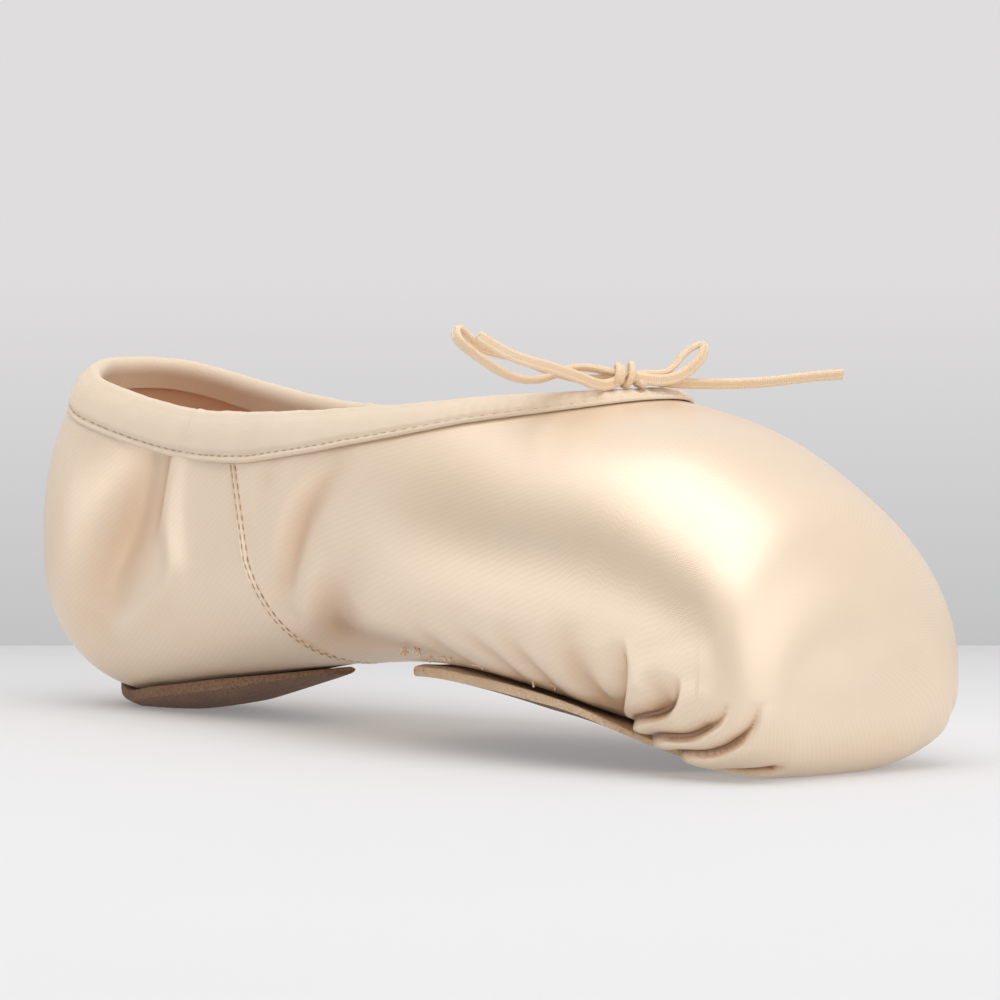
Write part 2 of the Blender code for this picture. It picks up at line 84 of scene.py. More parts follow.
# Sections from heel to toe. Across is a share of half the ball width, keel of the arch rise,
# girth and crown of the instep height, and collar of the heel height. Low and high are the
# powers of the two quarter curves below and above the girth line.
COLUMNS = ("share", "across", "keel", "girth", "crown", "collar", "low", "high")
SECTIONS = (
    (0.00, 0.65, 0.00, 0.480, 1.16, 0.975, 2.2, 2.2),
    (0.09, 0.67, 0.00, 0.500, 1.13, 0.965, 2.2, 2.2),
    (0.17, 0.65, 0.00, 0.490, 1.17, 0.920, 2.2, 2.2),
    (0.295, 0.64, 0.30, 0.475, 1.25, 0.855, 2.2, 2.2),
    (0.41, 0.73, 0.68, 0.510, 1.21, 0.850, 2.2, 2.2),
    (0.535, 0.87, 0.86, 0.515, 1.13, 0.870, 2.3, 2.2),
    (0.65, 0.96, 0.82, 0.485, 1.09, 0.835, 2.4, 2.1),
    (0.755, 0.94, 0.58, 0.450, 1.01, 0.790, 2.5, 2.1),
    (0.86, 0.87, 0.19, 0.390, 0.93, 0.750, 3.0, 2.2),
    (0.95, 0.80, -0.26, 0.310, 0.76, 0.700, 2.9, 2.2),
    (1.00, 0.76, -0.05, 0.280, 0.64, 0.650, 2.6, 2.2),
)
CROWN_OVER_RIM = 1.04
RIM_LIMIT = 0.97
HEEL_TURN = 0.17
THROAT_START = 0.485
THROAT_END = 0.755
SEAM_FOOT = 0.45
SEAM_SWEEP = 0.085
SEAM_ZONE = 0.009
LAP_SHARE = 0.12
SEAM_APPROACH = 0.03
CASING_FROM = 0.41
CASING_TO = 0.66

# Half widths of the leather soles and the insole along them, as shares of half the ball width
FOREFOOT_SOLE = ((0.0, 0.42), (0.25, 0.60), (0.5, 0.71), (0.78, 0.79), (1.0, 0.71))
HEEL_PAD = ((0.0, 0.24), (0.3, 0.31), (0.6, 0.30), (1.0, 0.22))
INSOLE = ((0.0, 0.30), (0.12, 0.40), (0.4, 0.38), (0.7, 0.62), (0.88, 0.62), (1.0, 0.50))
FOREFOOT_SOLE_ENDS = (0.55, 0.90)
HEEL_PAD_ENDS = (0.085, 0.395)
INSOLE_ENDS = (0.06, 0.93)
SOLE_CUP = 0.84
SOLE_SKIVE = 0.45
SKIVE_FROM = 0.6
SOLE_BORDER = 0.2
EDGE_DROP = 0.0006
LEAST_SOLE = 0.0006
HEEL_FLAT = 0.001
HEEL_EDGE_DROP = 0.0003
SOCK_WEAR = 0.0002
END_ROUNDNESS = 2.6
END_BLUNTNESS = 0.3
SQUARE_CUT = 0.8

# A sole's cut edge: heights up it and how proud it stands there, and the rings that close its ends,
# with how far each stands out and the share of the thickness that is left. In millimetres.
EDGE_LEVELS = (0.12, 0.35, 0.62, 0.88)
EDGE_PROUD = (0.10, 0.20, 0.20, 0.10)
END_RINGS = ((0.2, 0.85), (0.35, 0.5), (0.4, 0.0))

# Route points of the drawstring bow, in millimetres from where a cord lies on the casing at the
# throat's centre
KNOT_CENTRE = (0.5, -4.5, 1.7)
KNOT_TURNS = 2
KNOT_RADIUS = 1.6
KNOT_PITCH = 2.3
KNOT_TAIL = 2.6
KNOT_STEPS_A_TURN = 16
KNOT_HEART = (0.9, -4.6, 1.5)
BOW_SPREAD = (0.349, 0.937)
LEFT_LOOP = (
    KNOT_HEART, (-1.2, -8.2, 2.5), (-4.0, -13.7, 3.1), (-6.0, -19.4, 1.2), (-8.3, -25.6, 1.7),
    (-10.2, -31.0, 4.8), (-11.3, -34.3, 7.2), (-11.9, -36.0, 9.1), (-13.1, -35.1, 10.5),
    (-13.0, -31.5, 8.4), (-10.6, -24.5, 5.7), (-8.3, -17.5, 3.2), (-5.8, -12.0, 1.4),
    (-2.6, -7.8, 0.8), KNOT_HEART,
)
LEFT_END = (
    KNOT_HEART, (0.1, -9.5, -0.1), (-0.3, -14.6, 1.1), (-1.5, -22.2, 3.5), (-3.4, -29.5, 5.7),
    (-6.0, -36.1, 9.6),
)
RIGHT_LOOP = (
    KNOT_HEART, (1.9, -0.6, 1.9), (3.4, 3.6, 2.3), (4.0, 6.3, 4.7), (4.7, 9.0, 6.7),
    (5.8, 10.6, 7.3), (6.7, 9.7, 5.4), (6.2, 7.7, 3.2), (5.4, 4.6, 1.3), (3.3, -1.2, 0.8),
    KNOT_HEART,
)
RIGHT_END = (
    KNOT_HEART, (1.2, -0.1, 0.8), (3.0, 6.5, 0.0), (6.1, 14.7, -0.3), (9.8, 23.0, -0.1),
    (13.5, 31.5, 0.8), (15.8, 38.0, 1.2),
)

# The flat braid: its size, also where the knot pulls it tight, the groove between its two strands
# and its breadth as a share of the braid, and the step along a route
CORD_WIDTH = 0.0022
CORD_THICKNESS = 0.0013
KNOT_WIDTH = 0.0021
KNOT_THICKNESS = 0.0014
CORD_GROOVE = 0.34
CORD_GROOVE_BREADTH = 0.28
CORD_STEP = 0.0005

# The camera, fitted to the photo's outline
CAMERA_AZIMUTH = math.radians(48)
CAMERA_ELEVATION = math.radians(3.2)
CAMERA_DISTANCE = 1.169
CAMERA_LENS = 216.7
CAMERA_TARGET = Vector((0.0141, 0.0, 0.0466))

SOLE_PLANE = HEEL_PAD_THICKNESS + PLATE_CLEARANCE
BODY_START = SECTIONS[0][1] * BALL_WIDTH / 2
BODY_LENGTH = LENGTH - BODY_START
TOE_EDGE_SHARE = TOE_EDGE_DEPTH / BODY_LENGTH * (1 - HEEL_TURN)
MM = 0.001
MERGE_DISTANCE = 1e-6
SLOPE_STEP = 1e-3


def add_camera():
    data = bpy.data.cameras.new("photo_camera")
    data.lens = CAMERA_LENS
    data.clip_start = 0.05
    camera = bpy.data.objects.new("photo_camera", data)
    bpy.context.collection.objects.link(camera)
    back = Vector((
        math.sin(CAMERA_AZIMUTH) * math.cos(CAMERA_ELEVATION),
        -math.cos(CAMERA_AZIMUTH) * math.cos(CAMERA_ELEVATION),
        math.sin(CAMERA_ELEVATION),
    ))
    camera.location = CAMERA_TARGET + back * CAMERA_DISTANCE
    camera.rotation_euler = (-back).to_track_quat("-Z", "Y").to_euler()
    bpy.context.scene.camera = camera


add_camera()


# Forms: the same functions as the part's, for whole arrays of places at once

def natural_spline(rows):
    """A function that reads smooth values between the rows, by their first column."""
    table = np.array(rows, dtype=float)
    places, values = table[:, 0], table[:, 1:]
    gaps = np.diff(places)
    count = len(places)
    system = np.zeros((count, count))
    right = np.zeros_like(values)
    system[0, 0] = system[-1, -1] = 1.0
    for i in range(1, count - 1):
        system[i, i - 1 : i + 2] = gaps[i - 1], 2 * (gaps[i - 1] + gaps[i]), gaps[i]
        rise = (values[i + 1] - values[i]) / gaps[i]
        run_in = (values[i] - values[i - 1]) / gaps[i - 1]
        right[i] = 6 * (rise - run_in)
    bend = np.linalg.solve(system, right)

    def read(place):
        place = np.asarray(place, dtype=float)
        i = np.clip(np.searchsorted(places, place) - 1, 0, count - 2)
        gap = gaps[i][..., None]
        after = (place - places[i])[..., None]
        before = (places[i + 1] - place)[..., None]
        cubic = (bend[i] * before**3 + bend[i + 1] * after**3) / (6 * gap)
        low = (values[i] / gap - bend[i] * gap / 6) * before
        high = (values[i + 1] / gap - bend[i + 1] * gap / 6) * after
        return cubic + low + high

    return read


read_section = natural_spline(SECTIONS)


def section(share):
    """The form's section at shares of its length, in metres."""
    row = dict(zip(COLUMNS[1:], np.moveaxis(read_section(share), -1, 0)))
    row["across"] = row["across"] * BALL_WIDTH / 2
    row["keel"] = SOLE_PLANE + row["keel"] * ARCH_RISE
    row["girth"] = row["girth"] * INSTEP_HEIGHT
    row["crown"] = row["crown"] * INSTEP_HEIGHT
    row["collar"] = row["collar"] * HEEL_HEIGHT
    over_rim = np.maximum(row["crown"], row["collar"] * CROWN_OVER_RIM)
    row["crown"] = np.where(share < THROAT_START, over_rim, row["crown"])
    return row


def rim_level(share):
    """The rib angle at the height of the collar."""
    row = section(share)
    height = (row["collar"] - row["girth"]) / (row["crown"] - row["girth"])
    return np.arcsin(np.clip(height, 0.0, RIM_LIMIT) ** (row["high"] / 2))


def collar_angle(share):
    """The rib angle of the collar's rim: 90 degrees past the throat, where the rib closes."""
    into_throat = np.clip((share - THROAT_START) / (THROAT_END - THROAT_START), 0.0, 1.0)
    return np.arccos(np.cos(rim_level(share)) * np.sqrt(1 - into_throat**2))


def form_point(share, angle, inset=0.0):
    """Points of the form on its +Y half: angle -90 is the keel line, 0 the girth, 90 the crown."""
    share, angle, inset = np.broadcast_arrays(share, angle, inset)
    row = section(share)
    heading = math.pi / 2 * (1 + np.maximum(0.0, 1 - share / HEEL_TURN))
    along = np.maximum(0.0, (share - HEEL_TURN) / (1 - HEEL_TURN))
    sideways, upright = np.abs(np.cos(angle)), np.abs(np.sin(angle))
    power = 2 / np.where(angle < 0, row["low"], row["high"])
    reach = np.copysign(row["across"] - inset, np.cos(angle)) * sideways**power
    drop = (row["girth"] - row["keel"] - inset) * upright**power
    rise = (row["crown"] - inset - row["girth"]) * upright**power
    height = row["girth"] + np.where(angle < 0, -drop, rise)
    return np.stack([
        BODY_START + along * BODY_LENGTH + reach * np.cos(heading) - LENGTH / 2,
        reach * np.sin(heading),
        np.maximum(height, inset),
    ], axis=-1)


def wall(share):
    """The upper's wall: thin quarters, and a stiff box at the toe."""
    stiff = np.clip((share - THROAT_START) / (THROAT_END - THROAT_START), 0.0, 1.0)
    return QUARTER_WALL + (BOX_WALL - QUARTER_WALL) * stiff


def swept_share(share, up):
    """Bends the ribs beside the side seam so that one pair of them follows it."""
    behind = (share - HEEL_TURN) / (SEAM_FOOT - HEEL_TURN)
    ahead = (THROAT_END - share) / (THROAT_END - SEAM_FOOT)
    near = np.maximum(0.0, np.where(share < SEAM_FOOT, behind, ahead))
    return share - SEAM_SWEEP * up**3 * near


def toe_edge(share, up):
    """The depth of the toe's rounded edge, deeper at its top, how far into it a share lies, and
    how much of it is left there.
    """
    upper = np.clip((up - TOE_TOP_FROM) / (1 - TOE_TOP_FROM), 0.0, 1.0)
    depth = TOE_EDGE_DEPTH + TOE_TOP_SOFTNESS * upper**2 * (3 - 2 * upper)
    into = np.clip(1 - (1 - share) / (1 - HEEL_TURN) * BODY_LENGTH / depth, 0.0, 1.0)
    return depth, into, (1 - into**TOE_EDGE_POWER) ** (1 / TOE_EDGE_POWER)


def skin_point(share, up, inset=0.0, swept=True):
    """Points of the upper's face on its +Y half, at heights up the rib from keel to rim."""
    share = np.asarray(share, dtype=float)
    depth, into, left = toe_edge(share, up)
    forward, sideways = into ** (TOE_EDGE_POWER - 1), left ** (TOE_EDGE_POWER - 1)
    steep = np.hypot(forward, sideways)
    place = swept_share(share, up) if swept else share
    angle = -math.pi / 2 + up * (collar_angle(place) + math.pi / 2)
    point = form_point(place, angle, depth * (1 - left) + inset * sideways / steep)
    point[..., 0] -= inset * forward / steep
    return point


def underside(x, y, inset=0.0):
    """The height of the form's underside at places in plan."""
    ahead = x + LENGTH / 2 - BODY_START
    y = np.abs(y)
    turned = HEEL_TURN * (1 - np.arctan2(np.maximum(-ahead, 0.0), y) / (math.pi / 2))
    share = np.where(ahead < 0, turned, HEEL_TURN + (1 - HEEL_TURN) * ahead / BODY_LENGTH)
    row = section(np.minimum(share, 1.0))
    reach = np.where(ahead < 0, np.hypot(ahead, y), y)
    out = np.minimum(0.999, reach / (row["across"] - inset))
    drop = (row["girth"] - row["keel"] - inset) * (1 - out ** row["low"]) ** (1 / row["low"])
    return np.maximum(row["girth"] - drop, inset)


def length_place(share):
    """The X of a share of the form's length, on its middle line."""
    if share < HEEL_TURN:
        return BODY_START - LENGTH / 2 + (share / HEEL_TURN - 1) * section(0.0)["across"]
    return BODY_START - LENGTH / 2 + (share - HEEL_TURN) / (1 - HEEL_TURN) * BODY_LENGTH


def unit(vectors):
    return vectors / np.maximum(np.linalg.norm(vectors, axis=-1, keepdims=True), 1e-12)


def dot(a, b):
    return (a * b).sum(axis=-1)


def grid_normals(points):
    """The normals of a grid of points, from the directions of its rows and columns."""
    return unit(np.cross(np.gradient(points, axis=1), np.gradient(points, axis=0)))


def run_lengths(points):
    """How far each point of a line, or of many lines side by side, lies from its start."""
    steps = np.linalg.norm(np.diff(points, axis=0), axis=-1)
    return np.concatenate([np.zeros_like(steps[:1]), np.cumsum(steps, axis=0)])


def bell(value, centre, breadth):
    return np.exp(-(((value - centre) / breadth) ** 2))


def smooth_route(points, step):
    """Points of a smooth curve through a route, a step apart."""
    route = np.array(points, dtype=float)
    places = run_lengths(route)
    read = natural_spline(np.column_stack([places, route]))
    count = max(2, round(places[-1] / step))
    return read(np.linspace(0, places[-1], count + 1))


def joined_runs(*runs):
    """Row places that run through stretches of (start, end, steps), without doubling the joints."""
    places = [np.linspace(start, end, steps + 1)[:-1] for start, end, steps in runs]
    return np.concatenate([*places, [runs[-1][1]]])


# Meshes

def cloth_from_grid(points, cloth_uv, slots=None, folds=None):
    """A bmesh made from a grid operator and laid on a grid of points, with a UV map in millimetres.

    Slots gives the material number of each column of faces, and folds the painted shade of each
    point in creases, which the mesh keeps as its attribute "painted_fold_shade".
    """
    rows, columns = points.shape[:2]
    builder = bmesh.new()
    bmesh.ops.create_grid(builder, x_segments=rows - 1, y_segments=columns - 1, size=0.5)
    uv_layer = builder.loops.layers.uv.new("cloth")
    painted_fold_shade_layer = builder.verts.layers.float.new("painted_fold_shade")
    places = {}
    for vertex in builder.verts:
        row = round((vertex.co.x + 0.5) * (rows - 1))
        place = row, round((vertex.co.y + 0.5) * (columns - 1))
        places[vertex] = place
        vertex.co = points[place]
        if folds is not None:
            vertex[painted_fold_shade_layer] = folds[place]
    for face in builder.faces:
        face.smooth = True
        if slots is not None:
            face.material_index = int(slots[min(places[vertex][1] for vertex in face.verts)])
        for corner in face.loops:
            corner[uv_layer].uv = cloth_uv[places[corner.vert]] / MM
    bmesh.ops.remove_doubles(builder, verts=builder.verts, dist=MERGE_DISTANCE)
    return builder


def add_piece(name, builder, *materials, slot=None, replaces=()):
    """Turns a bmesh into a piece of the shoe."""
    mesh = bpy.data.meshes.new(name)
    builder.to_mesh(mesh)
    builder.free()
    for material in materials:
        mesh.materials.append(material)
    piece = bpy.data.objects.new(name, mesh)
    bpy.context.collection.objects.link(piece)
    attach(piece, "root")
    if replaces:
        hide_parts(*replaces)
    return piece


# Materials

def add_node(tree, kind, inputs=(), **settings):
    """A shader node with its settings, and its inputs set or linked by name or number."""
    made = tree.nodes.new(kind)
    for name, value in settings.items():
        setattr(made, name, value)
    for name, value in dict(inputs).items():
        if isinstance(value, bpy.types.NodeSocket):
            tree.links.new(value, made.inputs[name])
        else:
            made.inputs[name].default_value = value
    return made


def mix_colours(tree, factor, first, second, blend="MIX"):
    mixer = add_node(
        tree, "ShaderNodeMix", {0: factor, 6: first, 7: second}, data_type="RGBA", blend_type=blend
    )
    return mixer.outputs[2]


def stretch(tree, value, low, high):
    """Maps a value from 0 to 1 onto a range."""
    ends = {"Value": value, "To Min": low, "To Max": high}
    return add_node(tree, "ShaderNodeMapRange", ends).outputs[0]


def new_group(name, inputs, outputs):
    """An empty shader group with float or vector sockets, and its two end nodes."""
    group = bpy.data.node_groups.new(name, "ShaderNodeTree")
    for socket, value in inputs.items():
        kind = "NodeSocketVector" if value is None else "NodeSocketFloat"
        made = group.interface.new_socket(socket, in_out="INPUT", socket_type=kind)
        if value is not None:
            made.default_value = value
    for socket in outputs:
        group.interface.new_socket(socket, in_out="OUTPUT", socket_type="NodeSocketFloat")
    return group, group.nodes.new("NodeGroupInput"), group.nodes.new("NodeGroupOutput")


# The wave texture's scale at which one band takes one unit
WAVE_SCALE = 1 / 3.1416


def over(tree, top, bottom):
    return add_node(tree, "ShaderNodeMath", {0: top, 1: bottom}, operation="DIVIDE").outputs[0]


def make_thread_ribs():
    """Fine parallel threads that wander a little: the ribs of satin, tape and braid."""
    group, given, out = new_group(
        "thread_ribs",
        {"Vector": None, "Pitch": 1.0, "Turn": 0.0, "Wander": 0.5},
        ("Height", "Tone"),
    )
    turned = add_node(group, "ShaderNodeVectorRotate", {
        "Vector": given.outputs["Vector"], "Angle": given.outputs["Turn"],
    }, rotation_type="Z_AXIS")
    frequency = over(group, 1.0, given.outputs["Pitch"])
    scaled = add_node(group, "ShaderNodeVectorMath", {
        0: turned.outputs[0], "Scale": frequency,
    }, operation="SCALE")
    wave = add_node(group, "ShaderNodeTexWave", {
        "Vector": scaled.outputs[0],
        "Scale": WAVE_SCALE,
        "Distortion": given.outputs["Wander"],
        "Detail": 2.0,
        "Detail Scale": 0.4,
    }, wave_type="BANDS", bands_direction="X")
    patches = add_node(group, "ShaderNodeTexNoise", {
        "Vector": given.outputs["Vector"], "Scale": 0.12, "Detail": 3.0,
    })
    group.links.new(wave.outputs["Fac"], out.inputs["Height"])
    group.links.new(patches.outputs["Fac"], out.inputs["Tone"])
    return group


def make_soft_marks():
    """Uneven tone of handled cloth and leather: wide clouds with fine specks."""
    group, given, out = new_group(
        "soft_marks", {"Vector": None, "Cloud Size": 0.03, "Speck Size": 0.0006}, ("Clouds", "Specks")
    )
    for size, socket, detail in (("Cloud Size", "Clouds", 3.0), ("Speck Size", "Specks", 6.0)):
        frequency = over(group, 1.0, given.outputs[size])
        noise = add_node(group, "ShaderNodeTexNoise", {
            "Vector": given.outputs["Vector"], "Scale": frequency, "Detail": detail,
        })
        group.links.new(noise.outputs["Fac"], out.inputs[socket])
    return group


thread_ribs = make_thread_ribs()
soft_marks = make_soft_marks()


def use_group(tree, group, **inputs):
    """Places a group in a material, with its inputs set or linked."""
    given = {name.replace("_", " "): value for name, value in inputs.items()}
    return add_node(tree, "ShaderNodeGroup", given, node_tree=group)


def new_material(name, **constants):
    """A material with its shader's plain sockets set, its tree, and its shader."""
    material = bpy.data.materials.new(name)
    material.use_nodes = True
    tree = material.node_tree
    shader = tree.nodes["Principled BSDF"]
    for socket, value in constants.items():
        shader.inputs[socket.replace("_", " ")].default_value = value
    return material, tree, shader


def colour(red, green, blue):
    """A colour given as the photo shows it, from 0 to 255, in the shader's linear values."""
    return *[((part / 255 + 0.055) / 1.055) ** 2.4 for part in (red, green, blue)], 1.0


def bump(tree, height, strength, distance, normal=None):
    inputs = {"Height": height, "Strength": strength, "Distance": distance}
    if normal is not None:
        inputs["Normal"] = normal
    return add_node(tree, "ShaderNodeBump", inputs).outputs[0]


def make_satin():
    material, tree, shader = new_material(
        "peach_satin",
        Metallic=0.3,
        IOR=1.6,
        Specular_IOR_Level=0.9,
        Anisotropic=0.35,
        Coat_Weight=0.6,
        Coat_Roughness=0.32,
        Coat_IOR=1.7,
        Sheen_Weight=0.05,
        Sheen_Roughness=0.4,
        Sheen_Tint=colour(255, 236, 214),
    )
    cloth = add_node(tree, "ShaderNodeUVMap", uv_map="cloth").outputs[0]
    body = add_node(tree, "ShaderNodeTexCoord").outputs["Object"]
    fine = use_group(tree, thread_ribs, Vector=cloth, Pitch=0.42, Turn=math.radians(64), Wander=0.6)
    broad = use_group(tree, thread_ribs, Vector=cloth, Pitch=1.05, Turn=math.radians(118), Wander=1.2)
    marks = use_group(tree, soft_marks, Vector=body, Cloud_Size=0.035, Speck_Size=0.0008)
    base = mix_colours(tree, marks.outputs["Clouds"], colour(235, 210, 179), colour(243, 222, 196))
    ribs = stretch(tree, broad.outputs["Height"], 0.0, 0.06)
    tone = mix_colours(tree, ribs, base, colour(186, 148, 108))
    # Painted shade: the attribute darkens creases, dents, pleat lines and seam lines towards orange-brown,
    # and the darkest of them towards dark brown, where shade falls.
    painted_fold_shade = add_node(tree, "ShaderNodeAttribute", attribute_name="painted_fold_shade").outputs["Fac"]
    sunk = add_node(tree, "ShaderNodeClamp", {0: painted_fold_shade}).outputs[0]
    tone = mix_colours(tree, sunk, tone, colour(190, 132, 60))
    darkest_painted_shade = add_node(tree, "ShaderNodeMapRange", {
        "Value": painted_fold_shade, "From Min": 0.55, "From Max": 1.15, "To Max": 0.8,
    }).outputs[0]
    tone = mix_colours(tree, darkest_painted_shade, tone, colour(112, 70, 40))
    tree.links.new(tone, shader.inputs["Base Color"])
    tree.links.new(stretch(tree, marks.outputs["Specks"], 0.34, 0.43), shader.inputs["Roughness"])
    woven = bump(tree, fine.outputs["Height"], 0.18, 0.00004)
    woven = bump(tree, broad.outputs["Height"], 0.15, 0.00004, woven)
    woven = bump(tree, marks.outputs["Clouds"], 0.25, 0.0012, woven)
    tree.links.new(woven, shader.inputs["Normal"])
    return material


def make_tape(name, light, dark, pitch, roughness, strength):
    """Matte woven cloth: crossed threads with a soft uneven tone."""
    material, tree, shader = new_material(
        name, Sheen_Weight=0.25, Sheen_Roughness=0.6, Specular_IOR_Level=0.3
    )
    cloth = add_node(tree, "ShaderNodeUVMap", uv_map="cloth").outputs[0]
    body = add_node(tree, "ShaderNodeTexCoord").outputs["Object"]
    warp = use_group(tree, thread_ribs, Vector=cloth, Pitch=pitch, Turn=0.0, Wander=0.4)
    weft = use_group(tree, thread_ribs, Vector=cloth, Pitch=pitch, Turn=math.pi / 2, Wander=0.4)
    marks = use_group(tree, soft_marks, Vector=body, Cloud_Size=0.02, Speck_Size=0.0006)
    weave = add_node(tree, "ShaderNodeMath", {
        0: warp.outputs["Height"], 1: weft.outputs["Height"],
    }, operation="MULTIPLY").outputs[0]
    base = mix_colours(tree, marks.outputs["Clouds"], light, dark)
    base = mix_colours(tree, stretch(tree, marks.outputs["Specks"], 0.0, 0.25), base, dark)
    tree.links.new(base, shader.inputs["Base Color"])
    tree.links.new(
        stretch(tree, marks.outputs["Specks"], roughness - 0.06, roughness + 0.06),
        shader.inputs["Roughness"],
    )
    woven = bump(tree, weave, strength, 0.00008)
    tree.links.new(bump(tree, marks.outputs["Specks"], 0.3, 0.0001, woven), shader.inputs["Normal"])
    return material


def make_leather(name, light, dark, roughness, grain):
    """Raw split leather: fibres, pits and a patchy tone."""
    material, tree, shader = new_material(name, Specular_IOR_Level=0.25, Sheen_Weight=0.15)
    body = add_node(tree, "ShaderNodeTexCoord").outputs["Object"]
    marks = use_group(tree, soft_marks, Vector=body, Cloud_Size=0.012, Speck_Size=0.0005)
    pits = add_node(tree, "ShaderNodeTexVoronoi", {"Vector": body, "Scale": 900.0})
    base = mix_colours(tree, marks.outputs["Clouds"], dark, light)
    flecks = add_node(tree, "ShaderNodeMapRange", {
        "Value": marks.outputs["Specks"], "From Min": 0.4, "From Max": 0.62, "To Max": 0.8,
    }).outputs[0]
    base = mix_colours(tree, flecks, base, dark)
    tree.links.new(base, shader.inputs["Base Color"])
    tree.links.new(
        stretch(tree, marks.outputs["Clouds"], roughness - 0.1, roughness + 0.1),
        shader.inputs["Roughness"],
    )
    rough = bump(tree, marks.outputs["Specks"], grain, 0.0004)
    pitted = bump(tree, pits.outputs["Distance"], grain * 0.5, 0.0002, rough)
    tree.links.new(pitted, shader.inputs["Normal"])
    return material


satin = make_satin()
binding_cloth = make_tape("binding_cloth", colour(238, 220, 196), colour(226, 204, 177), 0.38, 0.82, 0.5)
lining_cloth = make_tape("lining_cloth", colour(240, 206, 176), colour(218, 176, 144), 0.55, 0.88, 0.6)
insole_cloth = make_tape("insole_cloth", colour(232, 204, 180), colour(208, 176, 150), 0.5, 0.9, 0.5)
cord_braid = make_tape("cord_braid", colour(246, 222, 192), colour(232, 202, 166), 0.5, 0.5, 0.8)
stitch_thread = make_tape("stitch_thread", colour(206, 172, 136), colour(176, 140, 106), 0.25, 0.6, 0.4)
edge_leather = make_leather("edge_leather", colour(244, 218, 184), colour(212, 180, 146), 0.82, 0.8)
worn_suede = make_leather("worn_suede", colour(166, 130, 102), colour(120, 88, 66), 0.9, 0.9)
sole_suede = make_leather("sole_suede", colour(150, 112, 84), colour(104, 72, 52), 0.92, 0.9)


# The bow

casing_top = form_point(THROAT_END, math.pi / 2)
casing_top[2] += CLEARANCE + BINDING_THICKNESS + CORD_DIAMETER / 2


def bow_route(points):
    """A route in metres in the frame, from points in millimetres from the casing's top."""
    return smooth_route(casing_top + np.array(points) * MM, CORD_STEP)


def knot_points():
    """Two turns about the bow's own line, with a tail on each side that goes to the casing."""
    line = np.array([*BOW_SPREAD, 0.0])
    across = np.array([BOW_SPREAD[1], -BOW_SPREAD[0], 0.0])
    half = line * KNOT_PITCH * KNOT_TURNS / 2
    start, end = KNOT_CENTRE - half, KNOT_CENTRE + half
    below = np.array([0.0, 0.0, KNOT_RADIUS])
    points = [start - across * KNOT_TAIL - below]
    for step in range(KNOT_TURNS * KNOT_STEPS_A_TURN + 1):
        angle = 2 * math.pi * step / KNOT_STEPS_A_TURN
        round_it = across * math.sin(angle) - np.array([0.0, 0.0, math.cos(angle)])
        points.append(start + line * KNOT_PITCH * step / KNOT_STEPS_A_TURN + round_it * KNOT_RADIUS)
    points.append(end + across * KNOT_TAIL - below)
    return points


def carried_frames(route, broad, twist):
    """Broad and flat directions along a route, carried without turning and then twisted."""
    along = unit(np.gradient(route, axis=0))
    wide = [unit(broad - along[0] * dot(broad, along[0]))]
    for direction in along[1:]:
        wide.append(unit(wide[-1] - direction * dot(wide[-1], direction)))
    wide = np.array(wide)
    flat = np.cross(along, wide)
    turn = np.linspace(0, twist, len(route))[:, None]
    return wide * np.cos(turn) + flat * np.sin(turn), flat * np.cos(turn) - wide * np.sin(turn)


def cord_builder(route, broad, twist, width=CORD_WIDTH, thickness=CORD_THICKNESS, sides=20):
    """A flat cord of two strands side by side, swept along a route."""
    wide, flat = carried_frames(route, np.array(broad, dtype=float), math.radians(twist))
    around = np.linspace(0, 2 * math.pi, sides + 1)
    waist = 1 - CORD_GROOVE * bell(np.cos(around), 0.0, CORD_GROOVE_BREADTH)
    reach_wide = width / 2 * np.copysign(np.abs(np.cos(around)) ** 0.85, np.cos(around))
    reach_flat = thickness / 2 * np.copysign(np.abs(np.sin(around)) ** 0.7, np.sin(around)) * waist
    points = (
        route[:, None]
        + wide[:, None] * reach_wide[None, :, None]
        + flat[:, None] * reach_flat[None, :, None]
    )
    lengths = np.broadcast_to(run_lengths(route)[:, None], points.shape[:2])
    girth = np.broadcast_to(around * (width + thickness) / 4, points.shape[:2])
    builder = cloth_from_grid(points, np.stack([lengths, girth], axis=-1))
    open_edges = [edge for edge in builder.edges if edge.is_boundary]
    bmesh.ops.holes_fill(builder, edges=open_edges)
    bmesh.ops.recalc_face_normals(builder, faces=builder.faces)
    return builder


def add_bow():
    wraps = cord_builder(
        bow_route(knot_points()), (*BOW_SPREAD, 0.0), 0, width=KNOT_WIDTH, thickness=KNOT_THICKNESS
    )
    knot = add_piece("bow_knot", wraps, cord_braid, slot="satin", replaces=["drawstring_knot"])
    cords = (
        ("bow_left_loop", LEFT_LOOP, (1.0, -0.2, 0.3), 20, "object", "bow_loop_left"),
        ("bow_left_end", LEFT_END, (0.3, 0.3, 1.0), 10, "bare", "bow_end_left"),
        ("bow_right_loop", RIGHT_LOOP, (1.0, -0.4, 0.3), 30, "object", "bow_loop_right"),
        ("bow_right_end", RIGHT_END, (0.6, -0.4, 0.9), 0, "bare", "bow_end_right"),
    )
    for name, points, broad, twist, far_end, node in cords:
        route = bow_route(points)
        piece = add_piece(
            name, cord_builder(route, broad, twist), cord_braid, slot="satin", replaces=[node]
        )
        run_lengths(route)[-1]
        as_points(route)


add_bow()
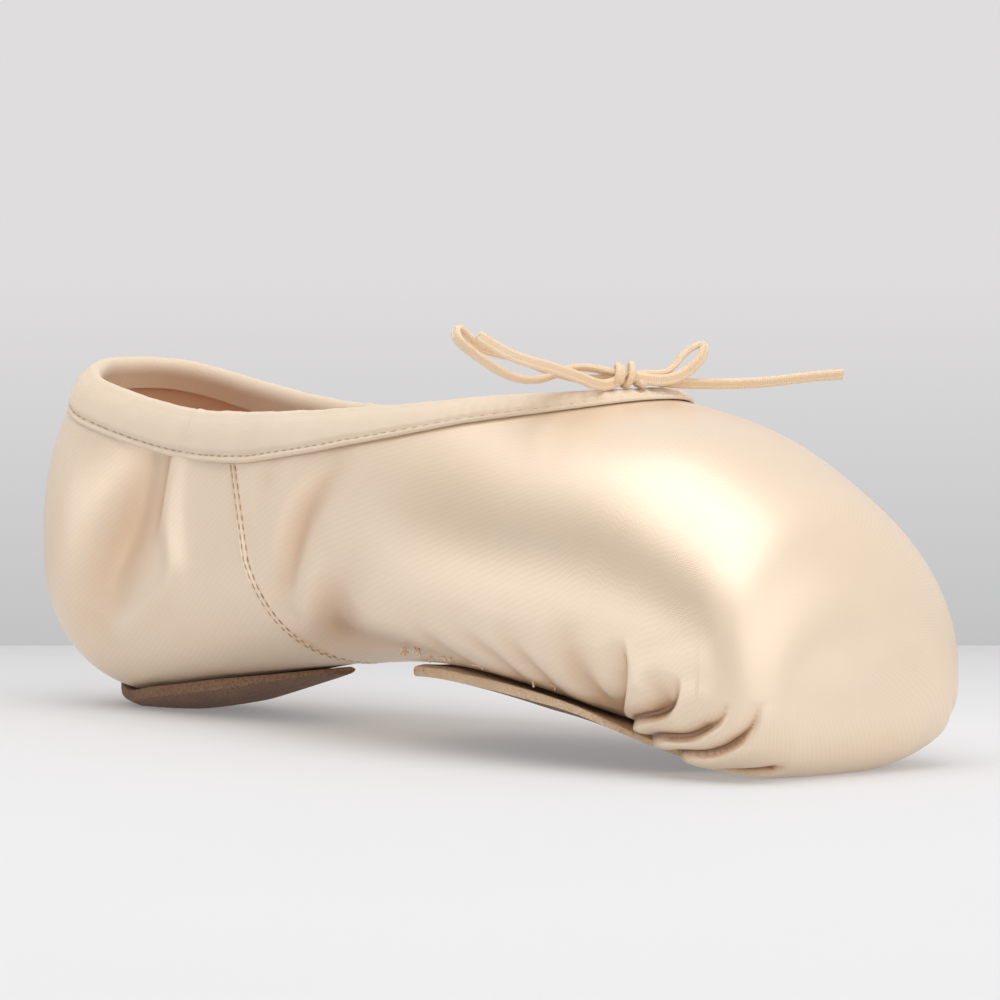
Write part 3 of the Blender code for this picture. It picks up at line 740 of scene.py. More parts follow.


# The satin upper with its canvas lining

# Soft troughs (depth above zero) and ridges (below zero) of the near side, in millimetres, with the
# breadth of each and its route in shares of the length and heights up the rib
# Troughs are also darkened with painted shade, by DENT_SHADE.
DENTS = (
    (3.4, 7.5, ((0.255, 0.95), (0.252, 0.85), (0.236, 0.76), (0.210, 0.65), (0.190, 0.50))),
    (0.9, 1.8, ((0.280, 0.95), (0.279, 0.89), (0.275, 0.83), (0.268, 0.76))),
    (-1.3, 3.4, ((0.304, 0.95), (0.296, 0.80), (0.302, 0.72), (0.268, 0.60), (0.212, 0.46))),
    (1.9, 4.5, ((0.540, 0.86), (0.500, 0.77), (0.485, 0.70), (0.471, 0.54))),
    (1.9, 5.5, ((0.575, 0.62), (0.535, 0.50), (0.497, 0.33))),
    (-0.8, 4.0, ((0.520, 0.70), (0.505, 0.60), (0.470, 0.40))),
    (0.4, 3.0, ((0.446, 0.90), (0.440, 0.84))),
    (1.2, 6.0, ((0.450, 0.28), (0.500, 0.33), (0.560, 0.325), (0.620, 0.31), (0.670, 0.30))),
    (0.5, 3.0, ((0.655, 0.50), (0.672, 0.36), (0.680, 0.26))),
    (0.7, 2.6, ((0.715, 0.45), (0.738, 0.36), (0.745, 0.26))),
    (0.8, 2.6, ((0.765, 0.42), (0.783, 0.31), (0.787, 0.24))),
    (1.3, 3.6, ((0.828, 0.46), (0.835, 0.40), (0.838, 0.28), (0.830, 0.22))),
    (1.0, 2.4, ((0.917, 0.47), (0.921, 0.43), (0.902, 0.37))),
    (-0.3, 1.4, ((0.997, 0.19), (0.989, 0.142), (0.978, 0.115))),
)

# Pleats gathered under the toe: depth and breadth of the hollow in millimetres, how much of it the
# far side shows, and the route from its faint upper end to the sole. The side towards the toe laps
# over the hollow.
PLEATS = (
    (2.2, 4.2, 0.8, ((0.884, 0.50), (0.885, 0.44), (0.876, 0.375), (0.862, 0.29), (0.852, 0.20))),
    (1.8, 3.0, 0.7, (
        (0.940, 0.49), (0.933, 0.44), (0.922, 0.405), (0.904, 0.366), (0.880, 0.31), (0.866, 0.22),
    )),
    (1.7, 2.2, 0.8, (
        (0.981, 0.46), (0.975, 0.41), (0.961, 0.38), (0.940, 0.345), (0.903, 0.30), (0.880, 0.22),
    )),
    (1.7, 2.0, 0.4, (
        (0.996, 0.43), (0.991, 0.35), (0.985, 0.325), (0.972, 0.305), (0.947, 0.284), (0.92, 0.26),
        (0.90, 0.19),
    )),
    (1.1, 1.3, 0.0, ((0.982, 0.13), (0.972, 0.155), (0.964, 0.176), (0.950, 0.20))),
)

# Breadths of a pleat's lap and of its painted shade line, its puff, how dark its painted shade is,
# the share of its route over which it grows, and how many breadths away a line is still felt
PLEAT_FLAP = 0.00055
PLEAT_LINE = 0.0005
PLEAT_PUFF = 0.5
PLEAT_SHADE = 1.2
PLEAT_FADE = 0.3
LINE_REACH = 4

# How dark the painted shade in a soft trough is, the least and greatest depths that count for it,
# how many breadths away it is still felt, and how far into its rise a route starts
DENT_SHADE = 0.37
DENT_SHADE_LIMITS = (-0.6, 1.4)
DENT_REACH = 3
DENT_END = 0.12

CREASE_STEP = 0.00035

# Depth, breadth and place ahead of the seam, in millimetres, of the two stitched lines of the side
# seam and of the ridge between them. The sunk stitched lines are also darkened with painted shade.
SEAM_LINES = ((-0.12, 0.30, -1.25), (0.24, 0.32, -0.75), (-0.12, 0.42, 0.0), (0.24, 0.32, 0.75))
SEAM_EDGE = 0.0062
SEAM_STEP = 0.0006
SEAM_UPS = np.linspace(0.03, 0.97, 60)


def seam_line(offset):
    """A line that runs beside the side seam, from the keel to the binding."""
    share = SEAM_FOOT + offset * MM / BODY_LENGTH * (1 - HEEL_TURN)
    return skin_point(share, SEAM_UPS)


def surface_route(route, side):
    """A crease's route on the skin of one side, as close points."""
    shares, ups = np.array(route, dtype=float).T
    points = skin_point(shares, ups, swept=False) * np.array([1, side, 1])
    return smooth_route(points, CREASE_STEP)


def nearest_on_route(points, normals, route):
    """Each point's distance from a route, the side it lies on, and how far along it is."""
    along = unit(np.gradient(route, axis=0))
    distance = np.full(len(points), np.inf)
    side = np.zeros(len(points))
    place = np.zeros(len(points))
    for k, (centre, direction) in enumerate(zip(route, along)):
        gap = points - centre
        far = np.linalg.norm(gap, axis=1)
        closer = far < distance
        distance[closer] = far[closer]
        side[closer] = dot(np.cross(normals[closer], direction), gap[closer])
        place[closer] = k / (len(route) - 1)
    return distance, np.sign(side), place


def near_box(points, route, margin):
    low, high = route.min(axis=0) - margin, route.max(axis=0) + margin
    return np.all((points > low) & (points < high), axis=-1)


def dented(points, normals, side):
    """How far the soft troughs and ridges of one side move points outwards, and their painted shade."""
    move, painted_fold_shade = np.zeros((2, *points.shape[:-1]))
    for depth, breadth, route in DENTS:
        path = surface_route(route, side)
        mask = near_box(points, path, DENT_REACH * breadth * MM)
        far, _, place = nearest_on_route(points[mask], normals[mask], path)
        fade = np.sin(math.pi * (DENT_END + (1 - 2 * DENT_END) * place))
        trough = fade * bell(far, 0.0, breadth * MM)
        move[mask] -= depth * MM * trough
        painted_fold_shade[mask] += np.clip(depth, *DENT_SHADE_LIMITS) * DENT_SHADE * trough
    return move, painted_fold_shade


def creased(points, normals, side):
    """How far all folds and stitched lines of one side move points outwards, and their painted shade."""
    move, painted_fold_shade = dented(points, normals, side)
    for depth, breadth, far_share, route in PLEATS:
        depth = depth * (far_share if side > 0 else 1.0)
        path = surface_route(route, side)
        mask = near_box(points, path, LINE_REACH * breadth * MM)
        far, hand, place = nearest_on_route(points[mask], normals[mask], path)
        hollow = hand * side > 0
        grow = np.clip(place / PLEAT_FADE, 0, 1)
        calm = np.clip((1 - place) / PLEAT_FADE, 0, 1)
        off = far / (breadth * MM)
        sunk = np.where(hollow, np.exp(-(off**1.5)), bell(far, 0.0, PLEAT_FLAP))
        puffed = np.where(hollow, 0, off * np.exp(1 - off))
        move[mask] += depth * MM * grow * (PLEAT_PUFF * puffed * calm - sunk)
        line = bell(far, 0.0, PLEAT_LINE) + np.where(hollow, 0.5 * sunk**2, 0.0)
        painted_fold_shade[mask] += min(depth, 1.0) * grow * line * PLEAT_SHADE
    for depth, breadth, offset in SEAM_LINES:
        path = smooth_route(seam_line(offset) * np.array([1, side, 1]), SEAM_STEP)
        mask = near_box(points, path, LINE_REACH * breadth * MM)
        far, _, _ = nearest_on_route(points[mask], normals[mask], path)
        line = bell(far, 0.0, breadth * MM)
        move[mask] -= depth * MM * line
        painted_fold_shade[mask] += max(depth, 0.0) * line
    return move, painted_fold_shade


def make_upper():
    rows = np.concatenate([
        joined_runs(
            (0.0, HEEL_TURN, 34),
            (HEEL_TURN, SEAM_FOOT - SEAM_ZONE, 56),
            (SEAM_FOOT - SEAM_ZONE, SEAM_FOOT + SEAM_ZONE, 20),
            (SEAM_FOOT + SEAM_ZONE, THROAT_START, 6),
        )[:-1],
        THROAT_START + (THROAT_END - THROAT_START) * np.sin(np.linspace(0, math.pi / 2, 66)[:-1]),
        joined_runs((THROAT_END, 0.80, 13), (0.80, 1 - TOE_EDGE_SHARE, 98))[:-1],
        1 - TOE_EDGE_SHARE * (1 - np.sin(np.linspace(0, math.pi / 2, 28))),
    ])
    outer_ups = joined_runs((0.0, 0.15, 12), (0.15, 0.52, 72), (0.52, 1.0, 36))
    inner_ups = np.linspace(1.0, 0.0, 22)
    shares = rows[:, None]
    halves = {}
    for side in (1, -1):
        outer = skin_point(shares, outer_ups)
        outer[rows <= HEEL_TURN, 0, 2] = skin_point(HEEL_TURN, 0.0)[2]
        outward = grid_normals(outer)
        outward[:, 0] = (0, 0, -1)
        outward[0, :, 1] = 0.0
        outward[rows >= THROAT_END, -1, 1] = 0.0
        mirror = np.array([1, side, 1])
        outer, outward = outer * mirror, unit(outward) * mirror
        ahead = swept_share(shares, outer_ups) - (SEAM_FOOT - SEAM_SWEEP * outer_ups**3) + SEAM_EDGE
        lap = np.where(ahead < -1e-9, 0.0, SEAM_LAP * np.maximum(0, 1 - ahead / LAP_SHARE))
        move, painted_fold_shade = creased(outer, outward, side)
        outer = outer + outward * (lap + move)[..., None]
        inner = skin_point(shares, inner_ups, wall(swept_share(shares, inner_ups))) * mirror
        inner_out = -grid_normals(inner) * side
        inner = inner + inner_out * dented(inner, inner_out, side)[0][..., None]
        inner[rows <= HEEL_TURN, -1, 2] = inner[len(rows[rows <= HEEL_TURN]) - 1, -1, 2]
        halves[side] = outer, inner, painted_fold_shade
    points = np.concatenate([
        halves[-1][0][:, ::-1], halves[1][0][:, 1:], halves[1][1], halves[-1][1][:, ::-1][:, 1:],
        halves[-1][0][:, -1:],
    ], axis=1)
    outer_columns = 2 * len(outer_ups) - 1
    caps = []
    for shrink in np.cos(np.linspace(0, math.pi / 2, 13))[1:]:
        last = points[-1]
        ring = last.copy()
        for columns in (slice(0, outer_columns), slice(outer_columns, len(last) - 1)):
            block = last[columns]
            centre = np.array([block[:, 0].mean(), 0.0, (block[:, 2].min() + block[:, 2].max()) / 2])
            ring[columns] = centre + (block - centre) * shrink
            ring[columns, 0] += TOE_CROWN * (1 - shrink**2) ** 2
        ring[-1] = ring[0]
        caps.append(ring)
    points = np.concatenate([points, np.array(caps)])
    points[..., 2] = np.maximum(points[..., 2], 0.0)
    lengths = np.broadcast_to(run_lengths(points[:, outer_columns // 4])[:, None], points.shape[:2])
    girths = run_lengths(points.swapaxes(0, 1)).T
    girths = girths - girths[:, outer_columns // 2][:, None]
    inside = np.arange(points.shape[1]) >= outer_columns - 1
    # The painted shade of the outer satin's folds, dents and seam lines; the lining and the toe's caps get
    # none.
    folds = np.zeros(points.shape[:2])
    folds[: len(rows), :outer_columns] = np.hstack([halves[-1][2][:, ::-1], halves[1][2][:, 1:]])
    builder = cloth_from_grid(points, np.stack([lengths, girths], axis=-1), inside, folds)
    closed_crown = [face for face in builder.faces if all(abs(v.co.y) < 1e-6 for v in face.verts)]
    bmesh.ops.delete(builder, geom=closed_crown, context="FACES")
    bmesh.ops.recalc_face_normals(builder, faces=builder.faces)
    return builder


add_piece("satin_upper", make_upper(), satin, lining_cloth, slot="satin", replaces=["upper"])


# Stitches

# Each row's pitch, and the length and thickness of its threads
SEAM_STITCHES = (0.0021, 0.00145, 0.00034)
BINDING_STITCHES = (0.0026, 0.0018, 0.00036)
SEAM_STITCH_SINK = 0.00012
BINDING_STITCH_RISE = 0.00008
STITCH_STRAY = 0.00012


def add_stitches(builder, route, normals, pitch, length, thickness):
    """Short threads along a route, each a stretched bead that lies on the cloth."""
    places = run_lengths(route)
    scatter = np.random.default_rng(len(route))
    for even_start in np.arange(pitch / 2, places[-1] - pitch / 2, pitch):
        start = even_start + scatter.normal(0, STITCH_STRAY)
        centre, ahead, out = (
            np.array([np.interp(place, places, table[:, axis]) for axis in range(3)])
            for place, table in ((start, route), (start + length / 2, route), (start, normals))
        )
        along = unit(ahead - centre)
        out = unit(out - along * dot(out, along))
        turn = Matrix((along, np.cross(out, along), out)).transposed().to_4x4()
        size = Matrix.Diagonal((length / 2, thickness / 2, thickness / 2, 1.0))
        bmesh.ops.create_icosphere(
            builder, subdivisions=1, radius=1.0, matrix=Matrix.Translation(centre) @ turn @ size
        )


def route_normals(shares, ups, side):
    """The form's outward normals along a route of shares and heights up the rib."""
    along = skin_point(shares + SLOPE_STEP, ups) - skin_point(shares - SLOPE_STEP, ups)
    upward = skin_point(shares, ups + SLOPE_STEP) - skin_point(shares, ups - SLOPE_STEP)
    return unit(np.cross(upward, along)) * np.array([1, side, 1])


def add_seam_stitches():
    builder = bmesh.new()
    for side in (1, -1):
        for offset in (SEAM_LINES[1][2], SEAM_LINES[3][2]):
            shares = np.full_like(SEAM_UPS, SEAM_FOOT + offset * MM / BODY_LENGTH * (1 - HEEL_TURN))
            normals = route_normals(shares, SEAM_UPS, side)
            line = seam_line(offset) * np.array([1, side, 1]) + normals * (SEAM_LAP - SEAM_STITCH_SINK)
            add_stitches(builder, line, normals, *SEAM_STITCHES)
    add_piece("seam_stitches", builder, stitch_thread)


add_seam_stitches()


# The binding: a padded cotton tape folded over the rim, narrower where it carries the drawstring

BINDING_TURNS = 300
BINDING_STEPS = 20
BINDING_JOINT = 0.315
BINDING_ROLL = 1.15
STITCH_DEPTH = 0.83

# Relief of the tape, as shares of its thickness: its padding, the groove its stitches pull, how far
# its raw edge lies lower before the joint and higher past it, the gathers of the casing and of its
# edge, and the dip and the ridge at the joint. The gathers' pitches are in millimetres over a turn.
BINDING_PUFF = 0.55
STITCH_GROOVE = 0.62
RAW_EDGE_DROP = 0.55
CASING_RISE = 0.12
CASING_GATHERS = 0.22
GATHER_PITCH = 0.37
EDGE_GATHERS = 0.14
EDGE_GATHER_PITCH = 0.16
JOINT_DIP = 0.5
JOINT_RIDGE = 0.3
EDGE_CLOSING = 0.45


def rim_place(turn):
    """Shares and rib angles of the collar's rim: turn runs 0 to 1 along the side, then to the throat."""
    opening = np.maximum(turn - 1, 0.0) * math.pi / 2
    past = THROAT_START + (THROAT_END - THROAT_START) * np.sin(opening)
    share = np.where(turn < 1, THROAT_START * turn, past)
    return share, np.arccos(np.cos(rim_level(share)) * np.cos(opening))


def slopes(share, angle):
    """How the form's points move with their share and with their angle."""
    along = form_point(share + SLOPE_STEP, angle) - form_point(share - SLOPE_STEP, angle)
    upward = form_point(share, angle + SLOPE_STEP) - form_point(share, angle - SLOPE_STEP)
    return along / (2 * SLOPE_STEP), upward / (2 * SLOPE_STEP)


def outward(share, angle):
    along, upward = slopes(share, angle)
    return unit(np.cross(upward, along))


def walk_down(turn, depth):
    """Places of the form down from the rim to a depth, in steps, and the direction down at the rim."""
    before, after = (form_point(*rim_place(turn + side * SLOPE_STEP)) for side in (-1, 1))
    rim_line = unit(after - before)
    share, angle = rim_place(turn)
    down = unit(np.cross(outward(share, angle), rim_line))
    found = [(share, angle)]
    for _ in range(BINDING_STEPS):
        along, upward = slopes(share, angle)
        stride = unit(np.cross(np.cross(upward, along), rim_line)) * (depth / BINDING_STEPS)[:, None]
        aa, au, uu = dot(along, along), dot(along, upward), dot(upward, upward)
        sa, su = dot(stride, along), dot(stride, upward)
        scale = aa * uu - au**2
        share = share + (sa * uu - su * au) / scale
        angle = angle + (su * aa - sa * au) / scale
        found.append((share, angle))
    return found, down


def binding_relief(run, depth, share):
    """The tape's height over the cloth, at a run along the rim and a share of its width down."""
    puff = BINDING_PUFF * np.sin(math.pi * np.clip(depth / STITCH_DEPTH, 0, 1) ** 0.8)
    groove = STITCH_GROOVE * bell(depth, STITCH_DEPTH, 0.05)
    edged = np.clip((share - BINDING_JOINT) / 0.012, 0, 1)
    edge = np.where(depth > STITCH_DEPTH, -RAW_EDGE_DROP * (1 - edged), CASING_RISE * edged)
    casing = np.clip((share - 0.60) / 0.06, 0, 1)
    folds = CASING_GATHERS * np.sin(run / GATHER_PITCH + 2.4 * depth)
    folds = folds * np.sin(math.pi * np.clip(depth, 0, 1))
    fringe = EDGE_GATHERS * bell(depth, 0.93, 0.05) * np.sin(run / EDGE_GATHER_PITCH)
    gathers = casing * (folds + fringe)
    soft = 0.07 * np.sin(run / 1.9 + 3 * depth) + 0.05 * np.sin(run / 0.83 - 5 * depth + 1.3)
    soft = soft * (1 - bell(run, 0.0, 3.0))
    joint = JOINT_RIDGE * bell(run, JOINT_RUN + 1.4, 0.9) - JOINT_DIP * bell(run, JOINT_RUN, 0.5)
    closing = EDGE_CLOSING * bell(depth, 1.0, 0.035)
    return (1 + puff - groove + edge + gathers + soft * (1 - casing) + joint - closing) * BINDING_THICKNESS


turns = np.linspace(0.0, 2.0, BINDING_TURNS + 1)
rim_shares, rim_angles = rim_place(turns)
rim_points = form_point(rim_shares, rim_angles)
rim_runs = run_lengths(rim_points)
JOINT_RUN = float(np.interp(BINDING_JOINT, rim_shares, rim_runs)) / MM


def make_binding():
    narrow = np.clip((rim_shares - CASING_FROM) / (CASING_TO - CASING_FROM), 0, 1)
    width = BINDING_WIDTH + (CASING_WIDTH - BINDING_WIDTH) * narrow
    places, down = walk_down(turns, width)
    ahead = rim_shares - (SEAM_FOOT - SEAM_SWEEP)
    lap = SEAM_LAP * np.maximum(0, 1 - np.where(ahead > 0, ahead / LAP_SHARE, -ahead / SEAM_APPROACH))
    near = (CLEARANCE + lap)[:, None]
    thick = wall(rim_shares) + CASING_ROOM
    outer, under, stitched, stitched_out = [], [], None, None
    for step, place in enumerate(places):
        depth = step / BINDING_STEPS
        point, normal = form_point(*place), outward(*place)
        lift = near + binding_relief(rim_runs / MM, depth, rim_shares)[:, None]
        outer.append(point + normal * lift)
        if step % 4 == 0:
            under.append(point + normal * near)
        if stitched is None and depth >= STITCH_DEPTH - 0.01:
            stitched, stitched_out = outer[-1], normal
    half_way = BINDING_STEPS // 2 + 1
    inner = [form_point(*place, inset=thick + BINDING_THICKNESS) for place in places[:half_way]]
    inside = [form_point(*place, inset=thick) for place in places[:half_way:4]]
    rolled = []
    middle, half = (outer[0] + inner[0]) / 2, (outer[0] - inner[0]) / 2
    rise = down * np.linalg.norm(half, axis=1, keepdims=True) * -BINDING_ROLL
    for angle in np.linspace(0, math.pi, 11)[1:-1]:
        rolled.append(middle + half * math.cos(angle) + rise * math.sin(angle))
    rings = np.stack([*outer[::-1], *rolled, *inner, *inside[::-1], *under, outer[-1]], axis=1)
    rings[[0, -1], :, 1] = 0.0
    mirror = np.array([1, -1, 1])
    points = np.concatenate([rings, rings[::-1][1:] * mirror])
    runs = np.concatenate([rim_runs, 2 * rim_runs[-1] - rim_runs[::-1][1:]])
    lengths = np.broadcast_to(runs[:, None], points.shape[:2])
    girths = run_lengths(points.swapaxes(0, 1)).T
    builder = cloth_from_grid(points, np.stack([lengths, girths], axis=-1))
    bmesh.ops.recalc_face_normals(builder, faces=builder.faces)
    return builder, stitched, stitched_out


def add_binding():
    builder, line, normals = make_binding()
    add_piece("binding_tape", builder, binding_cloth, replaces=["collar_binding"])
    stitches = bmesh.new()
    for side in (1, -1):
        mirror = np.array([1, side, 1])
        raised = (line + normals * BINDING_STITCH_RISE) * mirror
        add_stitches(stitches, raised, normals * mirror, *BINDING_STITCHES)
    add_piece("binding_stitches", stitches, stitch_thread)


add_binding()


# The soles and the insole

def slant(x, y, inset=0.0):
    """How much longer an upright gap is than the gap square to the underside."""
    step = 5e-4
    ahead = (underside(x + step, y, inset) - underside(x - step, y, inset)) / (2 * step)
    aside = (underside(x, y + step, inset) - underside(x, y - step, inset)) / (2 * step)
    return np.sqrt(1 + ahead**2 + aside**2)


def cupped_underside(x, y):
    """The top of a leather sole: near the upper, and a little flatter across than it."""
    middle = underside(x, np.zeros_like(y))
    return middle + SOLE_CUP * (underside(x, y) - middle) - PLATE_CLEARANCE * slant(x, y)


def make_plate(ends, widths, heights, rows, columns, roughness, rear_cut=END_BLUNTNESS):
    """A plate over a rounded plan between two heights, with a worn edge all round.

    Heights gives the bottom and top for places in plan and their shares along and across.
    """
    start, end = (length_place(share) for share in ends)
    along = 0.5 - 0.5 * np.cos(math.pi * np.linspace(0, 1, rows + 1))[:, None]
    rounding = (1 - np.abs(2 * along - 1) ** END_ROUNDNESS) ** (1 / END_ROUNDNESS)
    places, halves = zip(*widths)
    bluntness = np.where(along < 0.5, rear_cut, END_BLUNTNESS)
    half = BALL_WIDTH / 2 * np.interp(along, places, halves) * np.maximum(rounding, bluntness)
    across = np.sin(np.linspace(-math.pi / 2, math.pi / 2, columns + 1))
    x, y = np.broadcast_arrays(start + along * (end - start), half * across)
    bottom, top = heights(x, y, along, across)
    scatter = np.random.default_rng(rows)
    sides = []
    for column in (columns, 0):
        low, high = bottom[:, column], top[:, column]
        stray = scatter.normal(0, roughness, (rows + 1, len(EDGE_LEVELS)))
        proud = np.array(EDGE_PROUD) * MM + stray
        side_y = y[:, column, None] + np.sign(y[:, column, None]) * proud
        side_z = low[:, None] + (high - low)[:, None] * np.array(EDGE_LEVELS)
        sides.append(np.stack([np.broadcast_to(x[:, :1], side_y.shape), side_y, side_z], axis=-1))
    below, above = np.stack([x, y, bottom], axis=-1), np.stack([x, y, top], axis=-1)
    rings = np.concatenate([below, sides[0], above[:, ::-1], sides[1][:, ::-1], below[:, :1]], axis=1)
    slots = np.ones(rings.shape[1])
    slots[:columns] = 0
    for first, outward_x in ((0, -1), (-1, 1)):
        closing = []
        for shift, factor in END_RINGS:
            ring = rings[first].copy()
            centre = np.interp(ring[:, 1], y[first], (bottom[first] + top[first]) / 2)
            ring[:, 2] = centre + (ring[:, 2] - centre) * factor
            ring[:, 0] += outward_x * shift * MM + scatter.normal(0, roughness)
            closing.append(ring)
        if first == 0:
            rings = np.concatenate([np.array(closing[::-1]), rings])
        else:
            rings = np.concatenate([rings, np.array(closing)])
    rings[..., 2] = np.maximum(rings[..., 2], 0.0)
    girths = run_lengths(rings.swapaxes(0, 1)).T
    cloth_uv = np.stack([rings[..., 0], girths], axis=-1)
    builder = cloth_from_grid(rings, cloth_uv, slots)
    bmesh.ops.recalc_face_normals(builder, faces=builder.faces)
    return builder


def skived(along):
    """The share of a sole's thickness that is left where it thins towards its front end."""
    return 1 - (1 - SOLE_SKIVE) * np.maximum(0.0, (along - SKIVE_FROM) / (1 - SKIVE_FROM))


def sole_heights(x, y, along, across):
    """The forefoot sole's faces: its top falls away from the satin along its border."""
    cupped = cupped_underside(x, y)
    bottom = np.maximum(CLEARANCE, cupped - SOLE_THICKNESS * skived(along))
    into_border = np.clip((np.abs(across) - (1 - SOLE_BORDER)) / SOLE_BORDER, 0, 1)
    drop = EDGE_DROP * into_border**1.5 * skived(along)
    return bottom, np.maximum(cupped - drop, bottom + LEAST_SOLE)


def heel_heights(x, y, along, across):
    """The heel pad's faces: flat where it stands, with an edge that turns up."""
    cupped = cupped_underside(x, y)
    bottom = cupped - (HEEL_PAD_THICKNESS + HEEL_FLAT * (1 - across**2)) * skived(along)
    bottom = np.maximum(0.0, bottom)
    return bottom, np.maximum(cupped - HEEL_EDGE_DROP * np.abs(across) ** 6, bottom + LEAST_SOLE)


def insole_heights(x, y, along, across):
    start, end = INSOLE_ENDS
    thick = wall(start + along * (end - start))
    bottom = underside(x, y, thick) + PLATE_CLEARANCE * slant(x, y, thick)
    worn = SOCK_WEAR * np.sin(x * 210 + 1.0) * np.cos(y * 260)
    return bottom, bottom + INSOLE_THICKNESS + worn


forefoot = make_plate(
    FOREFOOT_SOLE_ENDS, FOREFOOT_SOLE, sole_heights,
    rows=180, columns=36, roughness=0.0001, rear_cut=SQUARE_CUT,
)
add_piece("forefoot_leather", forefoot, sole_suede, edge_leather, replaces=["forefoot_sole"])
heel = make_plate(HEEL_PAD_ENDS, HEEL_PAD, heel_heights, rows=150, columns=36, roughness=0.00008)
add_piece("heel_leather", heel, sole_suede, worn_suede, replaces=["heel_sole"])
sock = make_plate(INSOLE_ENDS, INSOLE, insole_heights, rows=120, columns=30, roughness=0.0)
add_piece("sock_lining", sock, insole_cloth, insole_cloth, replaces=["insole"])


# Loose threads at the gathered edge: share, height up the rib and the way each one strays
LOOSE_THREADS = (
    (0.608, 0.282, (1.9, -1.2, 0.9)), (0.613, 0.280, (-1.2, -1.6, 1.1)),
    (0.588, 0.292, (2.3, -1.0, -0.6)), (0.593, 0.286, (1.4, -2.1, 0.9)),
    (0.598, 0.288, (-0.9, -1.7, -0.5)), (0.603, 0.284, (2.4, -1.4, 0.4)),
    (0.628, 0.278, (1.5, -1.8, -0.8)), (0.646, 0.270, (-1.2, -1.5, 0.6)),
    (0.650, 0.272, (1.8, -1.3, 0.5)), (0.692, 0.262, (-0.9, -2.0, 0.9)),
    (0.760, 0.250, (1.7, -1.6, -0.6)), (0.783, 0.248, (0.9, -2.0, 1.2)),
)
THREAD_WIDTH = 0.00042
THREAD_THICKNESS = 0.00034
THREAD_SIDES = 6
THREAD_SAG = 0.35
THREAD_STEP = 0.0002


def add_loose_threads():
    builders = []
    for share, up, stray in LOOSE_THREADS:
        root = skin_point(share, up, swept=False) * np.array([1, -1, 1])
        end = root + np.array(stray) * MM
        sag = np.array([stray[2], 0.0, abs(stray[0])]) * THREAD_SAG * MM
        route = smooth_route([root, root * 0.6 + end * 0.4 + sag, end], THREAD_STEP)
        builders.append(
            cord_builder(route, (0.3, 0.2, 1.0), 90, THREAD_WIDTH, THREAD_THICKNESS, THREAD_SIDES)
        )
    joined = builders[0]
    for builder in builders[1:]:
        spare = bpy.data.meshes.new("thread")
        builder.to_mesh(spare)
        builder.free()
        joined.from_mesh(spare)
        bpy.data.meshes.remove(spare)
    add_piece("loose_threads", joined, cord_braid)


add_loose_threads()


# The stage: a pale floor and a pale wall behind, both glowing with painted light, and soft light from
# above

FLOOR_SIZE = 3.0
WALL_DISTANCE = 0.228
WALL_SIZE = 1.6
WALL_FACES = -2.0

# Softboxes: a name, the place and the place it faces, in metres to the camera's right, towards it
# and up, and the size and power
SOFTBOXES = (
    ("overhead", (-0.1, 0.18, 0.95), (0.0, 0.0, 0.0), (1.2, 0.9), 6.9),
    ("left_fill", (-1.2, 0.35, 0.16), (0.0, 0.0, 0.04), (1.1, 0.34), 1.9),
    ("right_fill", (1.0, 1.1, 0.6), (0.0, 0.0, 0.04), (2.2, 1.3), 8.4),
)

# The room's light, and its darker place
DARK_PLACE = (-0.84, 0.0, 0.55)
ROOM_LIGHT = 0.66
DARK_LIGHT = 0.02


def add_stage_plane(name, size, material, matrix):
    builder = bmesh.new()
    bmesh.ops.create_grid(builder, x_segments=1, y_segments=1, size=size, matrix=matrix)
    mesh = bpy.data.meshes.new(name)
    builder.to_mesh(mesh)
    builder.free()
    mesh.materials.append(material)
    plane = bpy.data.objects.new(name, mesh)
    bpy.context.collection.objects.link(plane)


def make_floor_paper():
    material, tree, shader = new_material("floor_paper", Roughness=0.7, Specular_IOR_Level=0.2)
    place = add_node(tree, "ShaderNodeTexCoord").outputs["Object"]
    grain = add_node(tree, "ShaderNodeTexNoise", {"Vector": place, "Scale": 6.0, "Detail": 4.0})
    tone = mix_colours(tree, grain.outputs["Fac"], colour(194, 194, 195), colour(199, 199, 200))
    tree.links.new(tone, shader.inputs["Base Color"])
    # Painted light: the floor glows, which lightens the shoe's cast shadow, and glows less towards the
    # wall, a painted shade along the join.
    shader.inputs["Emission Color"].default_value = (1.0, 1.0, 1.0, 1.0)
    towards = view_place(0.0, 1.0, 0.0) - view_place(0.0, 0.0, 0.0)
    ahead = add_node(tree, "ShaderNodeVectorMath", {0: place, 1: towards}, operation="DOT_PRODUCT")
    wall_place = view_place(0.0, -WALL_DISTANCE, 0.0).dot(towards)
    painted_floor_light = add_node(tree, "ShaderNodeMapRange", {
        "Value": ahead.outputs["Value"], "From Min": wall_place, "From Max": wall_place + 0.2,
        "To Min": 0.10, "To Max": 0.22,
    }).outputs[0]
    tree.links.new(painted_floor_light, shader.inputs["Emission Strength"])
    return material


